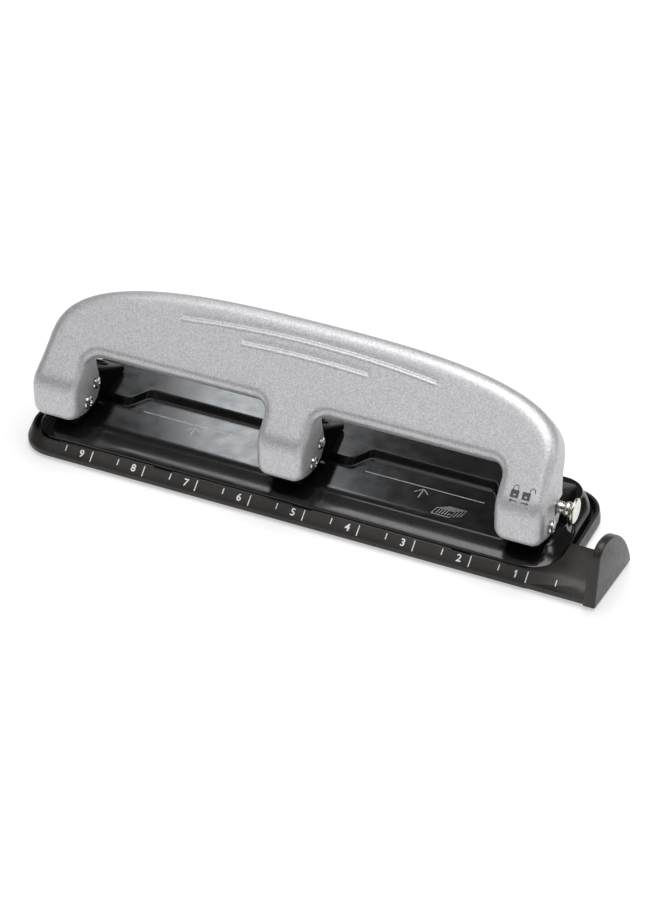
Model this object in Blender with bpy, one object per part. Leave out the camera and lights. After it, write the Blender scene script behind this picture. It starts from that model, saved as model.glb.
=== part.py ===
"""Three hole paper punch: a painted steel handle on three pinned feet over a steel base and a chip tray.

Layout coordinates are millimetres: X runs along the punch from the middle hole, Y runs from the front
edge of the tray to the back, and Z runs up from the table. ORIGIN is the layout point that becomes the
world origin, the middle of the underside.
"""

import math

import bmesh
import bpy
from mathutils import Vector
from mathutils.geometry import delaunay_2d_cdt

MM = 0.001
ORIGIN = Vector((11.2, 33.0, -0.9))

# Driving dimensions
HOLE_PITCH = 107.95
HEADS = {"left": -HOLE_PITCH, "middle": 0.0, "right": HOLE_PITCH}
PUNCH_Y = 24.0
PUNCH_RADIUS = 3.55
PIVOT = Vector((0.0, 15.15, 23.4))
DRIVE = Vector((0.0, 23.3, 28.4))
HANDLE_TRAVEL = math.radians(25.0)

# Chip tray with its ruler front, arm and paper stop
TRAY_LEFT = -125.5
TRAY_RIGHT = 129.5
TRAY_BACK = 67.0
TRAY_CORNER = 15.0
TRAY_RIM_Z = 6.8
TRAY_FLOOR = 1.6
RULER_FOOT_Z = 3.0
RULER_TOP = Vector((0.0, 4.4, 6.6))
ARM_BACK = 28.3
ARM_TOP = 8.6
STOP_INNER_X = 139.7
STOP_OUTER_X = 145.4

# Pressed steel base
BASE_LEFT = -121.5
BASE_RIGHT = 124.0
BASE_FRONT = 5.6
BASE_BACK = 64.0
BACK_INSET = 1.4
BASE_CORNER = 14.0
BASE_EDGE_Z = 5.6
BASE_SHEET = 1.2
PANEL_FRONT = 15.6
PANEL_Z = 10.5
PLATFORM_Z = 13.8
BACKSTOP_Y = 45.0
HEAD_STOP_Y = 35.2
STEP_SETBACK = 2.6
JOG_START = 18.6
JOG_END = 26.5

# Punch bracket
BRACKET_HALF = 8.3
BRACKET_SHEET = 1.5
THROAT_TOP = 13.0
WEB_Z = 31.5
WEB_SLOPE_START = 28.4
BRACKET_FRONT = 10.8
BRACKET_BACK = 55.2
BRACKET_BACK_Z = 17.4

# Handle shell
HANDLE_SHEET = 1.2
FOOT_HALF = 11.0
FOOT_FRONT = 4.0
FOOT_BOTTOM = 17.2
WALL_HEIGHT = 14.3
BEND_RADIUS = 12.0
FACE_TILT = math.radians(43.5)
FACE_LENGTH = 51.2
WINDOW_TOP = 36.9
ARCH_HALF = 117.4
ARCH_START = 38.0
ARCH_POWER_X = 2.75
ARCH_POWER_S = 3.0
TOP_FLANGE = 9.0

PAINT_SILVER = ((0.56, 0.56, 0.59), 0.42, 0.65)
STEEL_BLACK = ((0.012, 0.012, 0.014), 0.18, 0.2)
PLASTIC_BLACK = ((0.022, 0.019, 0.018), 0.38, 0.0)
NICKEL = ((0.72, 0.69, 0.64), 0.22, 1.0)
TOOL_STEEL = ((0.45, 0.45, 0.46), 0.3, 1.0)
RUBBER = ((0.03, 0.03, 0.03), 0.85, 0.0)


def clear_scene():
    for old in list(bpy.data.objects):
        bpy.data.objects.remove(old, do_unlink=True)


def material(name, look):
    colour, roughness, metallic = look
    made = bpy.data.materials.new(name)
    made.use_nodes = True
    shader = made.node_tree.nodes["Principled BSDF"]
    shader.inputs["Base Color"].default_value = (*colour, 1.0)
    shader.inputs["Roughness"].default_value = roughness
    shader.inputs["Metallic"].default_value = metallic
    return made


def body(name, at, parent=None):
    """An empty that carries the pieces of one moving body, placed on its joint."""
    made = bpy.data.objects.new(name, None)
    bpy.context.scene.collection.objects.link(made)
    made["at"] = list(at)
    if parent is None:
        made.location = (Vector(at) - ORIGIN) * MM
    else:
        made.parent = parent
        made.location = (Vector(at) - Vector(parent["at"])) * MM
    return made


def add_piece(name, bm, look, parent, smooth=30.0):
    """Makes one named object from a mesh in layout millimetres, with its origin on its parent."""
    base = Vector(parent["at"])
    for vert in bm.verts:
        vert.co = (vert.co - base) * MM
    bmesh.ops.recalc_face_normals(bm, faces=bm.faces)
    mesh = bpy.data.meshes.new(name)
    bm.to_mesh(mesh)
    bm.free()
    mesh.shade_smooth()
    mesh.set_sharp_from_angle(angle=math.radians(smooth))
    made = bpy.data.objects.new(name, mesh)
    bpy.context.scene.collection.objects.link(made)
    made.parent = parent
    if look is not None:
        made.data.materials.append(material(name, look))
    return made


def add_cutter(name, bm, parent):
    made = add_piece(name, bm, None, parent)
    made.hide_render = True
    made.display_type = "WIRE"
    return made


def boolean(target, other, operation="DIFFERENCE"):
    step = target.modifiers.new(other.name, "BOOLEAN")
    step.operation = operation
    step.solver = "EXACT"
    step.object = other


def loft(loops, close_start=True, close_end=True):
    """A closed body through loops that have the same number of points."""
    bm = bmesh.new()
    rows = [[bm.verts.new(point) for point in loop] for loop in loops]
    count = len(rows[0])
    for low, high in zip(rows, rows[1:]):
        for i in range(count):
            j = (i + 1) % count
            bm.faces.new((low[i], low[j], high[j], high[i]))
    if close_start:
        bm.faces.new(rows[0])
    if close_end:
        bm.faces.new(rows[-1])
    return bm


def prism_x(outline, low, high):
    """Extrudes a (y, z) outline along X."""
    return loft([[(x, y, z) for y, z in outline] for x in (low, high)])


def turned(profile, centre, axis, segments):
    """Turns a list of (radius, distance along axis) about an axis, X or Z, through centre."""
    loops = []
    for radius, along in profile:
        loop = []
        for i in range(segments):
            angle = 2.0 * math.pi * i / segments
            a = radius * math.cos(angle)
            b = radius * math.sin(angle)
            offset = Vector((along, a, b)) if axis == "X" else Vector((a, b, along))
            loop.append(Vector(centre) + offset)
        loops.append(loop)
    return loft(loops)


def rounded_rectangle(left, right, front, back, radius, z, per_corner=6):
    corners = (
        (right - radius, front + radius, -90.0),
        (right - radius, back - radius, 0.0),
        (left + radius, back - radius, 90.0),
        (left + radius, front + radius, 180.0),
    )
    loop = []
    for x, y, start in corners:
        for i in range(per_corner + 1):
            angle = math.radians(start + 90.0 * i / per_corner)
            loop.append(Vector((x + radius * math.cos(angle), y + radius * math.sin(angle), z)))
    return loop


# ---------------------------------------------------------------- chip tray, ruler, arm and stop


def tray_loop(inset, front, z):
    return rounded_rectangle(
        TRAY_LEFT + inset, TRAY_RIGHT - inset, front, TRAY_BACK - inset, TRAY_CORNER - inset, z
    )


def add_tray(parent):
    wall = 2.2
    loops = [
        tray_loop(0.8, 0.8, 0.0),
        tray_loop(0.0, 0.0, 0.8),
        tray_loop(0.1, 0.0, RULER_FOOT_Z),
        tray_loop(0.7, RULER_TOP.y, RULER_TOP.z),
        tray_loop(1.3, RULER_TOP.y + 0.6, TRAY_RIM_Z),
        tray_loop(wall, RULER_TOP.y + 0.7, TRAY_RIM_Z - 0.4),
        tray_loop(wall, RULER_TOP.y + 0.7, TRAY_FLOOR),
    ]
    tray = add_piece("chip_tray", loft(loops), PLASTIC_BLACK, parent)

    under = 1.8
    top = [
        (0.9, 0.2),
        (0.3, 0.9),
        (0.3, RULER_FOOT_Z),
        (RULER_TOP.y + 0.1, RULER_TOP.z),
        (9.0, ARM_TOP - 0.3),
        (18.0, ARM_TOP),
        (25.0, ARM_TOP - 0.3),
        (ARM_BACK - 0.8, ARM_TOP - 1.3),
        (ARM_BACK, ARM_TOP - 3.0),
        (ARM_BACK, 0.2),
    ]
    pocket = [
        (ARM_BACK - under, 0.2),
        (ARM_BACK - under, ARM_TOP - 3.6),
        (24.0, ARM_TOP - under - 0.3),
        (10.0, ARM_TOP - under - 0.4),
        (2.3, RULER_FOOT_Z - 0.6),
        (2.3, 0.2),
    ]
    arm = add_cutter("arm_solid", prism_x(top + pocket, 106.0, STOP_INNER_X + 2.0), parent)
    clear = 0.5
    recess = [
        rounded_rectangle(
            BASE_LEFT - clear, BASE_RIGHT + clear, BASE_FRONT - clear, BASE_BACK + clear,
            BASE_CORNER + clear, z,
        )
        for z in (TRAY_FLOOR + 0.1, 20.0)
    ]
    base_recess = add_cutter("base_recess", loft(recess), parent)
    boolean(arm, base_recess)
    boolean(tray, arm, "UNION")
    stop = add_cutter("paper_stop", stop_mesh(), parent)
    boolean(tray, stop, "UNION")
    return tray


def stop_mesh():
    """The paddle that the paper's edge rests on: a rounded upright plate, thin at its top."""
    crown = [
        (-0.6, 0.0),
        (-1.0, 12.0),
        (-1.0, 24.0),
        (0.2, 28.4),
        (2.4, 30.4),
        (5.0, 31.0),
        (9.0, 30.3),
        (15.0, 27.6),
        (21.0, 23.4),
        (27.0, 17.6),
        (32.5, 10.0),
        (37.0, 0.0),
    ]
    inner = []
    outer = []
    for y, z in crown:
        lean = 3.2 * z / 31.0
        flare = 2.4 * max(y, 0.0) / 37.0
        inner.append((STOP_INNER_X + lean + 0.5 * flare, y, z))
        outer.append((STOP_OUTER_X + 0.35 * lean + flare, y, z))
    return loft([inner, outer])


def add_rubber_feet(parent):
    for name, x, y in (
        ("front_left", -105.0, 12.0),
        ("front_right", 108.0, 12.0),
        ("back_left", -105.0, 55.0),
        ("back_right", 108.0, 55.0),
    ):
        profile = [(5.0, -0.9), (5.6, -0.6), (5.6, -0.3)]
        bm = turned(profile, (x, y, 0.0), "Z", 14)
        add_piece("rubber_foot_" + name, bm, RUBBER, parent)


# ---------------------------------------------------------------- pressed steel base


def smooth_step(value):
    t = min(max(value, 0.0), 1.0)
    return t * t * (3.0 - 2.0 * t)


def stop_line(x):
    """Front-to-back place of the backstop at x: it jogs forward round each punching head."""
    nearest = min(abs(x - head) for head in HEADS.values())
    blend = smooth_step((nearest - JOG_START) / (JOG_END - JOG_START))
    return HEAD_STOP_Y + (BACKSTOP_Y - HEAD_STOP_Y) * blend


def base_height(x, y):
    rise = (y - stop_line(x)) / STEP_SETBACK
    return PANEL_Z + (PLATFORM_Z - PANEL_Z) * min(max(rise, 0.0), 1.0)


def base_stations(left, right):
    """X places where the backstop is sampled: close together in its bends, far apart between them."""
    places = {left, right}
    for head in HEADS.values():
        for side in (-1.0, 1.0):
            for i in range(5):
                places.add(head + side * (JOG_START + (JOG_END - JOG_START) * i / 4.0))
    return sorted(x for x in places if left <= x <= right)


def base_skin():
    """The base's upper surface: a skirt round the outside, then the panel and the raised platform."""
    inner_left = BASE_LEFT + 5.0
    inner_right = BASE_RIGHT - 5.0
    inner_back = BASE_BACK - BACK_INSET
    inner = rounded_rectangle(inner_left, inner_right, PANEL_FRONT, inner_back, BASE_CORNER - 4.0, 0.0)
    low_line = [(x, stop_line(x)) for x in base_stations(inner_left, inner_right)]
    high_line = [(x, y + STEP_SETBACK) for x, y in low_line]
    inner = with_side_points(inner, low_line, high_line)
    outer = []
    middle = []
    for point in inner:
        rim = rim_point(point)
        outer.append(rim)
        middle.append((Vector((point.x, point.y)) - rim) * 0.62 + rim)
    bm = bmesh.new()
    tops = [bm.verts.new((p.x, p.y, base_height(p.x, p.y))) for p in inner]
    rings = [tops]
    for ring, drop, share in ((middle, None, 0.72), (outer, None, 0.0), (outer, BASE_EDGE_Z, 0.0)):
        row = []
        for point, top in zip(ring, tops):
            shoulder = BASE_EDGE_Z + 1.8
            z = drop if drop is not None else shoulder + (top.co.z - shoulder) * share
            row.append(bm.verts.new((point.x, point.y, z)))
        rings.append(row)
    count = len(tops)
    for upper, lower in zip(rings, rings[1:]):
        for i in range(count):
            j = (i + 1) % count
            bm.faces.new((upper[i], lower[i], lower[j], upper[j]))
    fill_flat(bm, tops, [low_line, high_line])
    return bm


def with_side_points(loop, low_line, high_line):
    """Adds the ends of the backstop's lines to the straight sides of the loop."""
    extra = [Vector((*line[end], 0.0)) for line in (low_line, high_line) for end in (0, -1)]
    made = []
    for i, point in enumerate(loop):
        after = loop[(i + 1) % len(loop)]
        made.append(point)
        on_side = abs(point.x - after.x) < 1e-6
        between = [p for p in extra if on_side and abs(p.x - point.x) < 1e-6]
        between = [p for p in between if min(point.y, after.y) < p.y < max(point.y, after.y)]
        made.extend(sorted(between, key=lambda p: (p.y - point.y) * (after.y - point.y)))
    return made


def rim_point(point):
    """The point of the base's outer edge that lies outward of a point of the panel's border."""
    radius = BASE_CORNER
    inner_radius = BASE_CORNER - 4.0
    x_low = BASE_LEFT + 5.0 + inner_radius
    x_high = BASE_RIGHT - 5.0 - inner_radius
    y_low = PANEL_FRONT + inner_radius
    y_high = BASE_BACK - BACK_INSET - inner_radius
    cx = min(max(point.x, x_low), x_high)
    cy = min(max(point.y, y_low), y_high)
    away = Vector((point.x - cx, point.y - cy)).normalized()
    share_x = (min(max(point.x, x_low), x_high) - x_low) / (x_high - x_low)
    share_y = (min(max(point.y, y_low), y_high) - y_low) / (y_high - y_low)
    centre_x = BASE_LEFT + radius + share_x * (BASE_RIGHT - BASE_LEFT - 2.0 * radius)
    centre_y = BASE_FRONT + radius + share_y * (BASE_BACK - BASE_FRONT - 2.0 * radius)
    return Vector((centre_x, centre_y)) + away * radius


def fill_flat(bm, border, lines):
    """Fills the panel inside a border of vertices, with edges along the given lines."""
    points = [Vector((v.co.x, v.co.y)) for v in border]
    edges = [(i, (i + 1) % len(points)) for i in range(len(points))]
    for line in lines:
        start = len(points)
        points.extend(Vector(p) for p in line[1:-1])
        chain = [nearest_index(points, line[0])]
        chain += list(range(start, len(points)))
        chain.append(nearest_index(points, line[-1]))
        edges.extend(zip(chain, chain[1:]))
    made, _, faces, origins, _, _ = delaunay_2d_cdt(points, edges, [], 1, 1e-5, True)
    verts = []
    for point, sources in zip(made, origins):
        source = min(sources) if sources else len(border)
        if source < len(border):
            verts.append(border[source])
        else:
            verts.append(bm.verts.new((point.x, point.y, base_height(point.x, point.y))))
    for face in faces:
        bm.faces.new([verts[i] for i in face])


def nearest_index(points, place):
    return min(range(len(points)), key=lambda i: (points[i] - Vector(place)).length)


def add_base(parent):
    base = add_piece("base_plate", base_skin(), STEEL_BLACK, parent)
    solid = base.modifiers.new("sheet", "SOLIDIFY")
    solid.thickness = BASE_SHEET * MM
    solid.offset = -1.0
    solid.use_even_offset = True
    for side, x in HEADS.items():
        hole = turned([(4.1, 4.0), (4.1, 20.0)], (x, PUNCH_Y, 0.0), "Z", 20)
        boolean(base, add_cutter("die_opening_" + side, hole, parent))
        for index, (dx, dy) in enumerate(RIVET_PLACES):
            shank = turned([(2.1, 4.0), (2.1, 20.0)], (x + dx, dy, 0.0), "Z", 12)
            boolean(base, add_cutter(f"rivet_opening_{side}_{index}", shank, parent))
    return base


RIVET_PLACES = ((-3.6, 46.0), (3.6, 46.0))


# ---------------------------------------------------------------- punching heads


def bracket_outline():
    return [
        (BRACKET_FRONT, THROAT_TOP),
        (35.5, THROAT_TOP),
        (37.7, PLATFORM_Z + 0.3),
        (BRACKET_BACK, PLATFORM_Z + 0.3),
        (BRACKET_BACK, BRACKET_BACK_Z - 0.6),
        (BRACKET_BACK - 1.0, BRACKET_BACK_Z + 0.3),
        (WEB_SLOPE_START + 1.0, WEB_Z - 0.4),
        (WEB_SLOPE_START - 0.6, WEB_Z),
        (BRACKET_FRONT + 2.0, WEB_Z),
        (BRACKET_FRONT, WEB_Z - 2.0),
    ]


def bracket_cavity():
    sheet = BRACKET_SHEET
    return [
        (5.0, THROAT_TOP + sheet),
        (36.0, THROAT_TOP + sheet),
        (38.6, THROAT_TOP - 1.0),
        (41.5, THROAT_TOP - 1.0),
        (41.5, PLATFORM_Z + 0.3 + sheet),
        (50.6, PLATFORM_Z + 0.3 + sheet),
        (50.6, THROAT_TOP - 1.0),
        (BRACKET_BACK - sheet, THROAT_TOP - 1.0),
        (BRACKET_BACK - sheet, BRACKET_BACK_Z - 1.1),
        (WEB_SLOPE_START - 0.4, WEB_Z - sheet),
        (5.0, WEB_Z - sheet),
    ]


def drive_at(angle):
    """Where the drive pin's centre lies when the handle has turned down by an angle."""
    arm = DRIVE - PIVOT
    y = arm.y * math.cos(angle) + arm.z * math.sin(angle)
    z = arm.z * math.cos(angle) - arm.y * math.sin(angle)
    return Vector((0.0, PIVOT.y + y, PIVOT.z + z))


def add_bracket(side, x, parent):
    shell = prism_x(bracket_outline(), x - BRACKET_HALF, x + BRACKET_HALF)
    bracket = add_piece("punch_bracket_" + side, shell, STEEL_BLACK, parent)
    half = BRACKET_HALF - BRACKET_SHEET
    cuts = {
        "cavity": prism_x(bracket_cavity(), x - half, x + half),
        "guide": turned([(3.85, 10.0), (3.85, 40.0)], (x, PUNCH_Y, 0.0), "Z", 20),
        "window": turned([(2.6, 14.0), (2.6, 30.0)], (x, 49.0, 4.0), "Z", 14),
        "pivot": turned([(2.35, -14.0), (2.35, 14.0)], (x, PIVOT.y, PIVOT.z), "X", 14),
    }
    for name, share, radius in (("up", 0.0, 2.75), ("mid", 0.5, 2.05), ("down", 1.0, 2.75)):
        centre = drive_at(HANDLE_TRAVEL * share) + Vector((x, 0.0, 0.0))
        cuts["drive_" + name] = turned([(radius, -14.0), (radius, 14.0)], centre, "X", 14)
    for index, (dx, dy) in enumerate(RIVET_PLACES):
        cuts[f"rivet_{index}"] = turned([(2.0, 10.0), (2.0, 16.5)], (x + dx, dy, 0.0), "Z", 12)
    for name, bm in cuts.items():
        boolean(bracket, add_cutter(f"{name}_cut_{side}", bm, parent))


def add_die(side, x, parent):
    top = PANEL_Z - BASE_SHEET - 0.3
    profile = [(3.8, top), (8.0, top), (8.0, top - 2.4), (7.4, top - 3.0), (3.8, top - 3.0), (3.8, top)]
    bm = ring(profile[:-1], (x, PUNCH_Y, 0.0), 20)
    add_piece("die_ring_" + side, bm, TOOL_STEEL, parent)


def ring(profile, centre, segments):
    """Turns a closed (radius, z) outline about Z."""
    bm = bmesh.new()
    rows = []
    for i in range(segments):
        angle = 2.0 * math.pi * i / segments
        turn = Vector((math.cos(angle), math.sin(angle), 0.0))
        rows.append([bm.verts.new(Vector(centre) + turn * r + Vector((0, 0, z))) for r, z in profile])
    count = len(profile)
    for i in range(segments):
        here, after = rows[i], rows[(i + 1) % segments]
        for j in range(count):
            k = (j + 1) % count
            bm.faces.new((here[j], after[j], after[k], here[k]))
    return bm


def add_bracket_rivets(side, x, parent):
    tab_top = PLATFORM_Z + 0.3 + BRACKET_SHEET
    under = PLATFORM_Z - BASE_SHEET
    profile = [
        (2.0, under - 1.5),
        (2.8, under - 0.3),
        (1.7, under - 0.3),
        (1.7, tab_top + 0.3),
        (2.8, tab_top + 0.3),
        (2.0, tab_top + 1.4),
    ]
    for index, (dx, dy) in enumerate(RIVET_PLACES):
        bm = turned(profile, (x + dx, dy, 0.0), "Z", 12)
        add_piece(f"bracket_rivet_{side}_{index + 1}", bm, TOOL_STEEL, parent)


def add_pivot_rivet(side, x, parent):
    head = FOOT_HALF + 0.3
    profile = [
        (1.2, -head - 2.2),
        (2.2, -head - 1.7),
        (2.6, -head),
        (2.0, -head),
        (2.0, head),
        (2.9, head),
        (2.7, head + 0.9),
        (1.5, head + 1.6),
    ]
    bm = turned(profile, (x, PIVOT.y, PIVOT.z), "X", 16)
    add_piece("pivot_rivet_" + side, bm, NICKEL, parent)


def add_spring(side, x, parent):
    """A return spring: a round wire wound as a helix about the punch, between bracket and clip."""
    wire = 0.45
    mean = 4.75
    low = WEB_Z + 0.3 + wire
    high = CLIP_Z - 0.3 - wire
    turns = 4.0
    steps = 48
    sides = 6
    loops = []
    for i in range(steps + 1):
        share = i / steps
        angle = 2.0 * math.pi * turns * share
        out = Vector((math.cos(angle), math.sin(angle), 0.0))
        centre = Vector((x, PUNCH_Y, low + (high - low) * share)) + out * mean
        loops.append(
            [
                centre
                + out * wire * math.cos(2.0 * math.pi * k / sides)
                + Vector((0, 0, 1)) * wire * math.sin(2.0 * math.pi * k / sides)
                for k in range(sides)
            ]
        )
    add_piece("return_spring_" + side, loft(loops), TOOL_STEEL, parent)


CLIP_Z = 42.2
CLIP_SHEET = 0.8
PUNCH_TIP = THROAT_TOP + 0.3
PUNCH_TOP = 44.2


def add_punch(side, x, parent):
    groove = 2.9
    profile = [
        (PUNCH_RADIUS - 0.5, PUNCH_TIP + 0.4),
        (PUNCH_RADIUS, PUNCH_TIP),
        (PUNCH_RADIUS, CLIP_Z - 0.2),
        (groove, CLIP_Z - 0.2),
        (groove, CLIP_Z + CLIP_SHEET + 0.2),
        (PUNCH_RADIUS, CLIP_Z + CLIP_SHEET + 0.2),
        (PUNCH_RADIUS - 0.6, PUNCH_TOP),
    ]
    bm = turned(profile, (x, PUNCH_Y, 0.0), "Z", 20)
    punch = add_piece("punch_pin_" + side, bm, TOOL_STEEL, parent)
    slot = [
        (PUNCH_Y - 2.6, DRIVE.z - 1.8),
        (PUNCH_Y + 2.6, DRIVE.z - 1.8),
        (PUNCH_Y + 2.6, DRIVE.z + 1.8),
        (PUNCH_Y - 2.6, DRIVE.z + 1.8),
    ]
    boolean(punch, add_cutter("punch_slot_" + side, prism_x(slot, x - 8.0, x + 8.0), parent))
    add_clip(side, x, parent)


def add_clip(side, x, parent):
    """An E clip in the punch's groove: a flat ring with a gap at its front."""
    inner, outer = 3.2, 5.4
    gap = math.radians(38.0)
    steps = 16
    loop = []
    for radius, order in ((outer, range(steps + 1)), (inner, range(steps, -1, -1))):
        for i in order:
            angle = -math.pi / 2.0 + gap + (2.0 * math.pi - 2.0 * gap) * i / steps
            loop.append(Vector((x + radius * math.cos(angle), PUNCH_Y + radius * math.sin(angle), 0.0)))
    lift = Vector((0.0, 0.0, 1.0))
    loops = [[p + lift * CLIP_Z for p in loop], [p + lift * (CLIP_Z + CLIP_SHEET) for p in loop]]
    add_piece("retaining_clip_" + side, loft(loops), NICKEL, parent)


# ---------------------------------------------------------------- handle


def face_point(s):
    """Front surface of the handle: upright wall, bend, then the tilted face. Returns point and slope."""
    bend = BEND_RADIUS * (math.pi / 2.0 - FACE_TILT)
    if s <= WALL_HEIGHT:
        return Vector((0.0, FOOT_FRONT, FOOT_BOTTOM + s)), math.pi / 2.0
    if s <= WALL_HEIGHT + bend:
        turn = (s - WALL_HEIGHT) / BEND_RADIUS
        y = FOOT_FRONT + BEND_RADIUS * (1.0 - math.cos(turn))
        z = FOOT_BOTTOM + WALL_HEIGHT + BEND_RADIUS * math.sin(turn)
        return Vector((0.0, y, z)), math.pi / 2.0 - turn
    start, slope = face_point(WALL_HEIGHT + bend)
    along = s - WALL_HEIGHT - bend
    return start + Vector((0.0, math.cos(slope), math.sin(slope))) * along, slope


def on_face(x, s, depth=0.0):
    """The place of a point of the flat pattern, a depth inward of the front surface."""
    point, slope = face_point(s)
    inward = Vector((0.0, math.sin(slope), -math.cos(slope)))
    return Vector((x, point.y, point.z)) + inward * depth


def arch_outline():
    """The handle's outer edge in the flat pattern, from the foot of one end over the top to the other."""
    height = WALL_HEIGHT + BEND_RADIUS * (math.pi / 2.0 - FACE_TILT) + FACE_LENGTH - ARCH_START
    foot_edge = HOLE_PITCH + FOOT_HALF
    points = []
    rises = (5.0, 10.0, 14.3, 18.0, 22.0, 26.0, 30.0, 34.5)
    for s in rises:
        widen = (ARCH_HALF - foot_edge) * smooth_step((s - WALL_HEIGHT) / (ARCH_START - WALL_HEIGHT))
        points.append((-foot_edge - widen, s))
    steps = 44
    for i in range(steps + 1):
        angle = math.pi * (1.0 - i / steps)
        c, s = math.cos(angle), math.sin(angle)
        x = ARCH_HALF * math.copysign(abs(c) ** (2.0 / ARCH_POWER_X), c)
        points.append((x, ARCH_START + height * abs(s) ** (2.0 / ARCH_POWER_S)))
    right = [(-x, s) for x, s in reversed(points[: len(rises)])]
    return [(x, s, "outer") for x, s in points + right]


def corner_arc(x, s, radius, start, end, kind):
    """Four points of a quarter turn about (x, s), between two angles in degrees."""
    made = []
    for i in range(4):
        angle = math.radians(start + (end - start) * i / 3.0)
        made.append((x + radius * math.cos(angle), s + radius * math.sin(angle), kind))
    return made


def handle_outline():
    """The whole edge of the flat pattern, clockwise: over the arch, then round each foot and window."""
    loop = arch_outline()
    corner = 4.4
    window = 6.5
    rise = (10.0, 14.3, 18.0, 22.0, 26.0, 29.0)
    centres = sorted(HEADS.values(), reverse=True)
    for index, centre in enumerate(centres):
        right = centre + FOOT_HALF
        left = centre - FOOT_HALF
        if index > 0:
            loop += [(right, s, "inner") for s in reversed(rise)]
        loop += corner_arc(right - corner, corner, corner, 0.0, -90.0, "foot")
        loop += corner_arc(left + corner, corner, corner, -90.0, -180.0, "foot")
        if index < 2:
            loop += [(left, s, "inner") for s in rise]
            next_right = centres[index + 1] + FOOT_HALF
            span = left - next_right - 2.0 * window
            height = WINDOW_TOP - window
            loop += corner_arc(left - window, height, window, 0.0, 90.0, "window")
            loop += [(left - window - span * i / 6.0, WINDOW_TOP, "window") for i in range(1, 6)]
            loop += corner_arc(next_right + window, height, window, 90.0, 180.0, "window")
    return loop


# Rear edge of the feet's side walls: distance up the flat pattern, then the edge's y and z.
REAR_EDGE = (
    (0.0, 9.5, 17.2),
    (0.9, 10.0, 17.2),
    (2.4, 15.0, 17.4),
    (5.0, 23.5, 19.6),
    (10.0, 27.0, 24.2),
    (14.3, 27.3, 28.5),
    (18.0, 26.4, 32.5),
    (22.0, 25.3, 36.5),
    (26.0, 24.8, 40.0),
    (29.0, 25.2, 42.0),
    (34.0, 27.5, 44.3),
    (45.0, 34.0, 48.0),
    (58.0, 43.0, 53.0),
)


def rear_edge(s):
    for low, high in zip(REAR_EDGE, REAR_EDGE[1:]):
        if s <= high[0]:
            share = (s - low[0]) / (high[0] - low[0])
            return [a + (b - a) * max(share, 0.0) for a, b in zip(low[1:], high[1:])]
    return list(REAR_EDGE[-1][1:])


def edge_radius(kind, s):
    if kind == "outer":
        return 3.0 + 4.0 * smooth_step((s - 34.0) / 26.0)
    if kind == "window":
        return 2.0
    return 3.6 if kind == "foot" else 2.6


def wall_end(kind, x, s, start):
    """Where the wall that starts at a point of the rounded edge ends."""
    if kind == "window":
        lip = start + (on_face(x, s, 1.0) - on_face(x, s)) * 1.2
        y, z = rear_edge(s)
        blend = smooth_step((WINDOW_TOP - s) / 6.0)
        return lip.lerp(Vector((start.x, y, z)), blend)
    if kind == "outer" and s > 45.0:
        flange = start + (on_face(x, s, 1.0) - on_face(x, s)) * TOP_FLANGE
        y, z = rear_edge(s)
        return Vector((start.x, y, z)).lerp(flange, smooth_step((s - 45.0) / 13.0))
    y, z = rear_edge(s)
    return Vector((start.x, y, z))


def handle_skin():
    outline = handle_outline()
    count = len(outline)
    bm = bmesh.new()
    arc_steps = 3
    rows = [[] for _ in range(arc_steps + 2)]
    flat = []
    for i, (x, s, kind) in enumerate(outline):
        before = outline[i - 1]
        after = outline[(i + 1) % count]
        tangent = Vector((after[0] - before[0], after[1] - before[1])).normalized()
        out = Vector((-tangent.y, tangent.x))
        radius = edge_radius(kind, s)
        base = Vector((x, s)) - out * radius
        flat.append(base)
        _, slope = face_point(base.y)
        inward = Vector((0.0, math.sin(slope), -math.cos(slope)))
        outward = Vector((out.x, math.cos(slope) * out.y, math.sin(slope) * out.y))
        centre = on_face(base.x, base.y, radius)
        for step in range(arc_steps + 1):
            angle = math.pi / 2.0 * step / arc_steps
            place = centre - inward * radius * math.cos(angle) + outward * radius * math.sin(angle)
            rows[step].append(bm.verts.new(place))
        rows[-1].append(bm.verts.new(wall_end(kind, x, s, place)))
    for front, back in zip(rows, rows[1:]):
        for i in range(count):
            j = (i + 1) % count
            bm.faces.new((front[i], back[i], back[j], front[j]))
    fill_face(bm, rows[0], flat)
    return bm


def fill_face(bm, border, flat):
    """Fills the face inside its border with rows of points, so that it follows the bend."""
    points = list(flat)
    for s in (5.0, 14.3, 16.7, 19.2, 21.6, 24.0, 30.0, 36.0, 43.0, 50.0, 57.0, 64.0):
        step = 8.0 if s < WINDOW_TOP else 15.0
        steps = int(2.0 * ARCH_HALF / step)
        for i in range(1, steps):
            place = Vector((-ARCH_HALF + 2.0 * ARCH_HALF * i / steps, s))
            if well_inside(place, flat, 3.0):
                points.append(place)
    edges = [(i, (i + 1) % len(flat)) for i in range(len(flat))]
    made, _, faces, origins, _, _ = delaunay_2d_cdt(points, edges, [], 1, 1e-5, True)
    verts = []
    for point, sources in zip(made, origins):
        source = min(sources) if sources else len(border)
        if source < len(border):
            verts.append(border[source])
        else:
            verts.append(bm.verts.new(on_face(point.x, point.y)))
    for face in faces:
        middle = sum((made[i] for i in face), Vector((0.0, 0.0))) / len(face)
        if well_inside(middle, flat, 0.0):
            bm.faces.new([verts[i] for i in face])


def well_inside(place, loop, margin):
    inside = False
    for a, b in zip(loop, loop[1:] + loop[:1]):
        along = b - a
        share = min(max((place - a).dot(along) / max(along.length_squared, 1e-9), 0.0), 1.0)
        if (a + along * share - place).length < margin:
            return False
        if (a.y > place.y) != (b.y > place.y):
            if place.x < a.x + (place.y - a.y) / (b.y - a.y) * (b.x - a.x):
                inside = not inside
    return inside


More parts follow.
